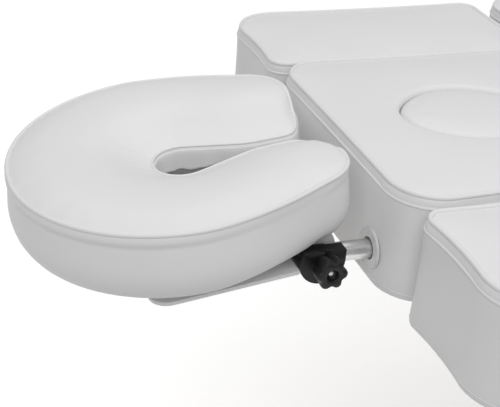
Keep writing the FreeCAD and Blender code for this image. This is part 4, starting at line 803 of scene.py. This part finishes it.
def face_ring(height, bulge=0.0):
    """Outline of the face cushion at a height, bulged most at the head end and least at the tips."""
    inset, widen = face_level(height)
    flat = horseshoe(inset, widen)
    share = np.clip(-flat[:, :1] / BULGE_RUN, LEAST_BULGE, 1.0)
    return flat + share * (horseshoe(inset - bulge, widen) - flat)


def from_middle(index):
    """Place of a ring point counted from the head end, the same on both arms."""
    return np.minimum(index, 2 * SLOT_INDEX - index)


def face_cushion():
    """Horseshoe cushion: round slot, full side with a soft crease, and a dished top."""
    shell = Shell()
    rings = []
    slot_part = from_middle(np.arange(2 * SLOT_INDEX)) >= MOUTH_INDEX
    for height in FACE_HEIGHTS:
        held = np.full(len(slot_part), height <= FACE_HELD)
        held |= slot_part if height < RIM_HEIGHT + RIM_HOLD else ~slot_part & (height == FACE_SEAM)
        caps = np.where(held, 0.0, FACE_SIDE_CAP if height < FACE_SEAM else FACE_TOP_CAP)
        rings.append(shell.add(face_ring(height, side_bulge(height)), height, held, caps))
    shell.bands(rings)
    edge, foot = face_ring(FACE_TOP), face_ring(FACE_BOTTOM)
    dome = domed(FACE_TOP, FACE_RISE, edge, FACE_RUN)
    shell.cap(rings[-1], edge, [], dome, FACE_SPACING, True, False, FACE_TOP_CAP)
    shell.cap(rings[0], foot, [], level(FACE_BOTTOM), FACE_FOOT_SPACING, False, True, 0.0)
    obj = shell.build("face_cushion_cover")
    place_mesh(obj, FACE_SPOT)
    for side in (-1, 1):
        centre = (HINGE_X, side * (EAR_INNER + RELIEF_HALF), HINGE_Z)
        drill(obj, centre, RELIEF_RADIUS, RELIEF_HALF, "Y")
    finish_piece(obj, "face_rest")
    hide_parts("face_cushion")


def face_welt():
    """One welt round the top panel: along the outside at the seam, over the tips and down to the slot's rim."""
    line, radii = [], []
    for index in range(2 * SLOT_INDEX):
        share = np.clip((from_middle(index) - TIP_INDEX) / (MOUTH_INDEX - TIP_INDEX), 0.0, 1.0)
        share = share * share * (3 - 2 * share)
        height = FACE_SEAM + (RIM_HEIGHT - FACE_SEAM) * share
        line.append([*face_ring(height, WELT_INSET * (share - 1.0))[index], height + WELT_RISE])
        radii.append(WELT_RADIUS - WELT_THINNING * share)
    piece = tube("face_cushion_welt", np.array(line), radii)
    place_mesh(piece, FACE_SPOT)
    finish_piece(piece, "face_rest")


# Cloth inside the face slot. Each row of a section is its offset from the slot's wall, its share of the pleats
# or ripples, and its height.

SKIRT_HEIGHT, SKIRT_LAP, SKIRT_POINTS = 0.056, 4, 220
HEM_TOP = [
    (-0.0010, 0.0, 0.0668), (0.0004, 0.0, 0.0670), (0.0010, 0.0, 0.0655), (0.0013, 0.0002, 0.0615),
    (0.0015, 0.0005, 0.0555),
]
HEM_EDGE = [(0.0018, 0.0008, 0.003), (0.0023, 0.0009, 0.0008), (0.0018, 0.0008, 0.0), (-0.0010, 0.0, 0.0006)]
HEM_LOW, HEM_UNEVEN = 0.0455, 0.0013
# Share, radians a metre and start of the waves along the slot
HEM_WAVES = [(1.0, 95.0, 0.6), (0.6, 210.0, 2.0), (0.35, 377.0, 0.0)]
HEM_PLEATS = [(0.5, 150.0, 0.0), (0.5, 260.0, 1.0)]
LINING_RIPPLES = [(0.0002, 120.0, 0.0)]
LINING_ROWS = [
    (-0.0010, 0.0, 0.0530), (0.0003, 1.0, 0.0530), (0.0005, -1.0, 0.0400), (0.0004, 1.0, 0.0270),
    (0.0, 0.0, 0.0150), (-0.0030, 0.0, 0.0150),
]


def rippled(reach, parts):
    """Sum of waves along a reach."""
    return sum(share * np.sin(reach * rate + start) for share, rate, start in parts)


def section_rows(rows, pleat, base):
    """Offsets and heights of a section along the slot."""
    return [(offset + depth * pleat, base + height) for offset, depth, height in rows]


def hem_section(reach):
    """Gathered hem: it hangs from the slot's rim and ends in an uneven lower edge."""
    pleat = rippled(reach, HEM_PLEATS)
    low = HEM_LOW + HEM_UNEVEN * rippled(reach, HEM_WAVES)
    return section_rows(HEM_TOP, pleat, np.zeros_like(reach)) + section_rows(HEM_EDGE, pleat, low)


def lining_section(reach):
    """Dark lining of the slot below the hem."""
    return section_rows(LINING_ROWS, rippled(reach, LINING_RIPPLES), np.zeros_like(reach))


def slot_skirt(name, section, material):
    """Cloth round the inside of the slot, swept from a section of offsets and heights at each place along it."""
    wall = face_ring(SKIRT_HEIGHT)
    ids = np.arange(MOUTH_INDEX - SKIRT_LAP, 2 * SLOT_INDEX - MOUTH_INDEX + SKIRT_LAP + 1)
    path = wall[ids]
    run = wall[ids + 1] - wall[ids - 1]
    out = np.column_stack([run[:, 1], -run[:, 0]]) / np.linalg.norm(run, axis=1)[:, None]
    reach = np.concatenate([[0.0], np.cumsum(np.linalg.norm(np.diff(path, axis=0), axis=1))])
    fine = np.linspace(0.0, reach[-1], SKIRT_POINTS)
    path = np.column_stack([np.interp(fine, reach, path[:, k]) for k in range(2)])
    out = np.column_stack([np.interp(fine, reach, out[:, k]) for k in range(2)])
    rows = [np.column_stack([path + out * offset[:, None], height]) for offset, height in section(fine)]
    obj = swept(name, np.stack(rows, 1))
    place_mesh(obj, FACE_SPOT)
    finish_piece(obj, "face_rest", material)


face_cushion()
face_welt()
slot_skirt("face_slot_hem", hem_section, LEATHER)
slot_skirt("face_slot_lining", lining_section, LINING)


# Clamping knobs: a moulded star with a recess that shows the end of its steel stud

KNOB_START, KNOB_LOBES, LOBE_DEPTH, LOBE_POWER = 0.1313, 6, 0.0036, 1.3
LOBE_TURN = math.pi / KNOB_LOBES            # the knobs stand half a lobe round, as in the photo
KNOB_SIDES, STUD_SIDES = 72, 32
# Place along the hinge axis, radius and share of the lobes
KNOB_STATIONS = [
    (0.0, 0.0082, 0.0), (0.0006, 0.0090, 0.0), (0.0040, 0.0092, 0.0), (0.0058, 0.0104, 0.2),
    (0.0068, 0.0126, 0.6), (0.0082, 0.0148, 1.0), (0.0110, 0.0158, 1.0), (0.0160, 0.0163, 1.0),
    (0.0205, 0.0165, 1.0), (0.0232, 0.0162, 1.0), (0.0248, 0.0152, 0.95), (0.0257, 0.0136, 0.8),
    (0.0260, 0.0115, 0.55), (0.0259, 0.0090, 0.25), (0.0256, 0.0070, 0.0), (0.0250, 0.0062, 0.0),
    (0.0240, 0.0058, 0.0), (0.0192, 0.0056, 0.0), (0.0190, 0.0032, 0.0),
]
THREAD_START, THREAD_STEP, THREAD_RINGS, THREAD_CREST, THREAD_ROOT = -0.0366, 0.0006, 60, 0.0039, 0.0037
STUD_STATIONS = [(-0.0388, 0.0028, 0.0), (-0.0380, 0.0036, 0.0), (-0.0374, 0.00395, 0.0)]
STUD_STATIONS += [(THREAD_START + THREAD_STEP * i, THREAD_CREST if i % 2 else THREAD_ROOT, 0.0)
                  for i in range(THREAD_RINGS)]
STUD_STATIONS += [
    (0.0010, 0.0038, 0.0), (0.0180, 0.0031, 0.0), (0.0204, 0.0031, 0.0), (0.0209, 0.0026, 0.0),
    (0.0211, 0.0010, 0.0),
]


def turned(name, stations, side, sides):
    """Closed shape about the hinge axis, through stations on one side of the table."""
    angle = np.arange(sides) * 2 * math.pi / sides
    valley = ((1 + np.cos(KNOB_LOBES * (angle - LOBE_TURN))) / 2) ** LOBE_POWER
    rings = []
    for place, radius, lobed in stations:
        reach = radius - LOBE_DEPTH * valley * lobed
        rings.append(np.column_stack([
            HINGE_X + reach * np.cos(angle), np.full(sides, side * (KNOB_START + place)),
            HINGE_Z + reach * np.sin(angle)]))
    return swept(name, np.array(rings))


for label, side in (("near", -1), ("far", 1)):
    star = turned(f"knob_{label}_star", KNOB_STATIONS, side, KNOB_SIDES)
    finish_piece(star, f"knob_{label}", FINISHES["black_plastic"])
    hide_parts(f"knob_{label}")
    stud = turned(f"knob_{label}_stud", STUD_STATIONS, side, STUD_SIDES)
    finish_piece(stud, f"knob_{label}", FINISHES["plain_steel"])


# Hinge clamps, cut flat just above the rods and stepped behind, so that rods and ears show over them

CLAMP_CUTS = [(0.30, 0.0117), (0.1165, 0.0050)]         # reach to each side and height over the hinge axis
CUT_LENGTH, CUT_HEIGHT = 0.3, 0.1
CLAMP_SHARP = math.radians(35)


def clamps():
    """Copy of the clamps with all above the cuts taken off."""
    node = NODES["hinge_clamps"]
    obj = linked("hinge_clamps_flat", node.data.copy())
    obj.matrix_world = node.matrix_world
    for reach, height in CLAMP_CUTS:
        bm = bmesh.new()
        bmesh.ops.create_cube(bm, size=1.0)
        bmesh.ops.scale(bm, vec=(CUT_LENGTH, 2 * reach, CUT_HEIGHT), verts=bm.verts)
        tool = drawn("above", bm)
        tool.location = (HINGE_X, 0.0, HINGE_Z + height + CUT_HEIGHT / 2)
        subtract(obj, tool)
    finish_piece(obj, "face_rods", FINISHES["black_plastic"])
    obj.data.set_sharp_from_angle(angle=CLAMP_SHARP)
    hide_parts("hinge_clamps")


clamps()


# Floor, light and camera

FLOOR_SIZE, FLOOR_Z, FLOOR_GLOW = 60.0, -0.0005, 0.4
WORLD_STRENGTH = 0.42
WHITE = (1.0, 1.0, 1.0, 1.0)
# Place, aim, size and power in watts
LIGHTS = {
    "key": ((-0.3, 0.9, 3.4), (-0.5, 0.0, 0.5), (3.6, 3.0), 34.0),
    "fill": ((-2.1, -2.1, 2.8), (-0.6, 0.0, 0.5), (2.4, 2.0), 36.0),
    "side": ((1.7, -2.0, 2.5), (0.0, 0.0, 0.5), (2.0, 2.0), 16.0),
}
# Camera solved from the photograph: turn from the Y axis, downward tilt and roll in degrees, place and lens
CAMERA_ANGLES = (21.7, 28.6, 4.73)
CAMERA_PLACE = (-1.2615, -0.990, 1.098)
FOCAL_PIXELS, WIDTH_PIXELS = 1148.0, 500.0
SENSOR_WIDTH = 36.0


def floor():
    """Plain pale floor."""
    bm = bmesh.new()
    bmesh.ops.create_grid(bm, x_segments=2, y_segments=2, size=FLOOR_SIZE)
    obj = drawn("floor", bm)
    obj.location = (0.0, 0.0, FLOOR_Z)
    material, _, shader, _ = new_material("pale_floor", (0.92, 0.92, 0.92), 0.8)
    shader.inputs["Emission Color"].default_value = WHITE
    shader.inputs["Emission Strength"].default_value = FLOOR_GLOW
    obj.data.materials.append(material)
    obj.visible_diffuse = False


def studio():
    """Even white surroundings with three soft lights."""
    world = bpy.data.worlds.new("studio")
    world.use_nodes = True
    background = world.node_tree.nodes["Background"]
    background.inputs["Color"].default_value = WHITE
    background.inputs["Strength"].default_value = WORLD_STRENGTH
    bpy.context.scene.world = world
    bpy.context.scene.view_settings.view_transform = "Standard"
    for name, (place, aim, size, power) in LIGHTS.items():
        data = bpy.data.lights.new(name, "AREA")
        data.shape = "RECTANGLE"
        data.size, data.size_y = size
        data.energy = power
        obj = linked(name, data)
        obj.location = place
        obj.rotation_euler = (Vector(aim) - Vector(place)).to_track_quat("-Z", "Y").to_euler()


def camera():
    """Camera at the photograph's place and tilt."""
    yaw, pitch, roll = (math.radians(angle) for angle in CAMERA_ANGLES)
    data = bpy.data.cameras.new("camera")
    data.sensor_fit = "HORIZONTAL"
    data.sensor_width = SENSOR_WIDTH
    data.lens = SENSOR_WIDTH * FOCAL_PIXELS / WIDTH_PIXELS
    forward = Vector((math.sin(yaw) * math.cos(pitch), math.cos(yaw) * math.cos(pitch), -math.sin(pitch)))
    right = Vector((math.cos(yaw), -math.sin(yaw), 0.0))
    up = right.cross(forward)
    image_x = math.cos(roll) * right + math.sin(roll) * up
    image_up = -math.sin(roll) * right + math.cos(roll) * up
    matrix = Matrix((image_x, image_up, -forward)).transposed().to_4x4()
    matrix.translation = CAMERA_PLACE
    obj = linked("camera", data)
    obj.matrix_world = matrix
    bpy.context.scene.camera = obj


floor()
studio()
camera()
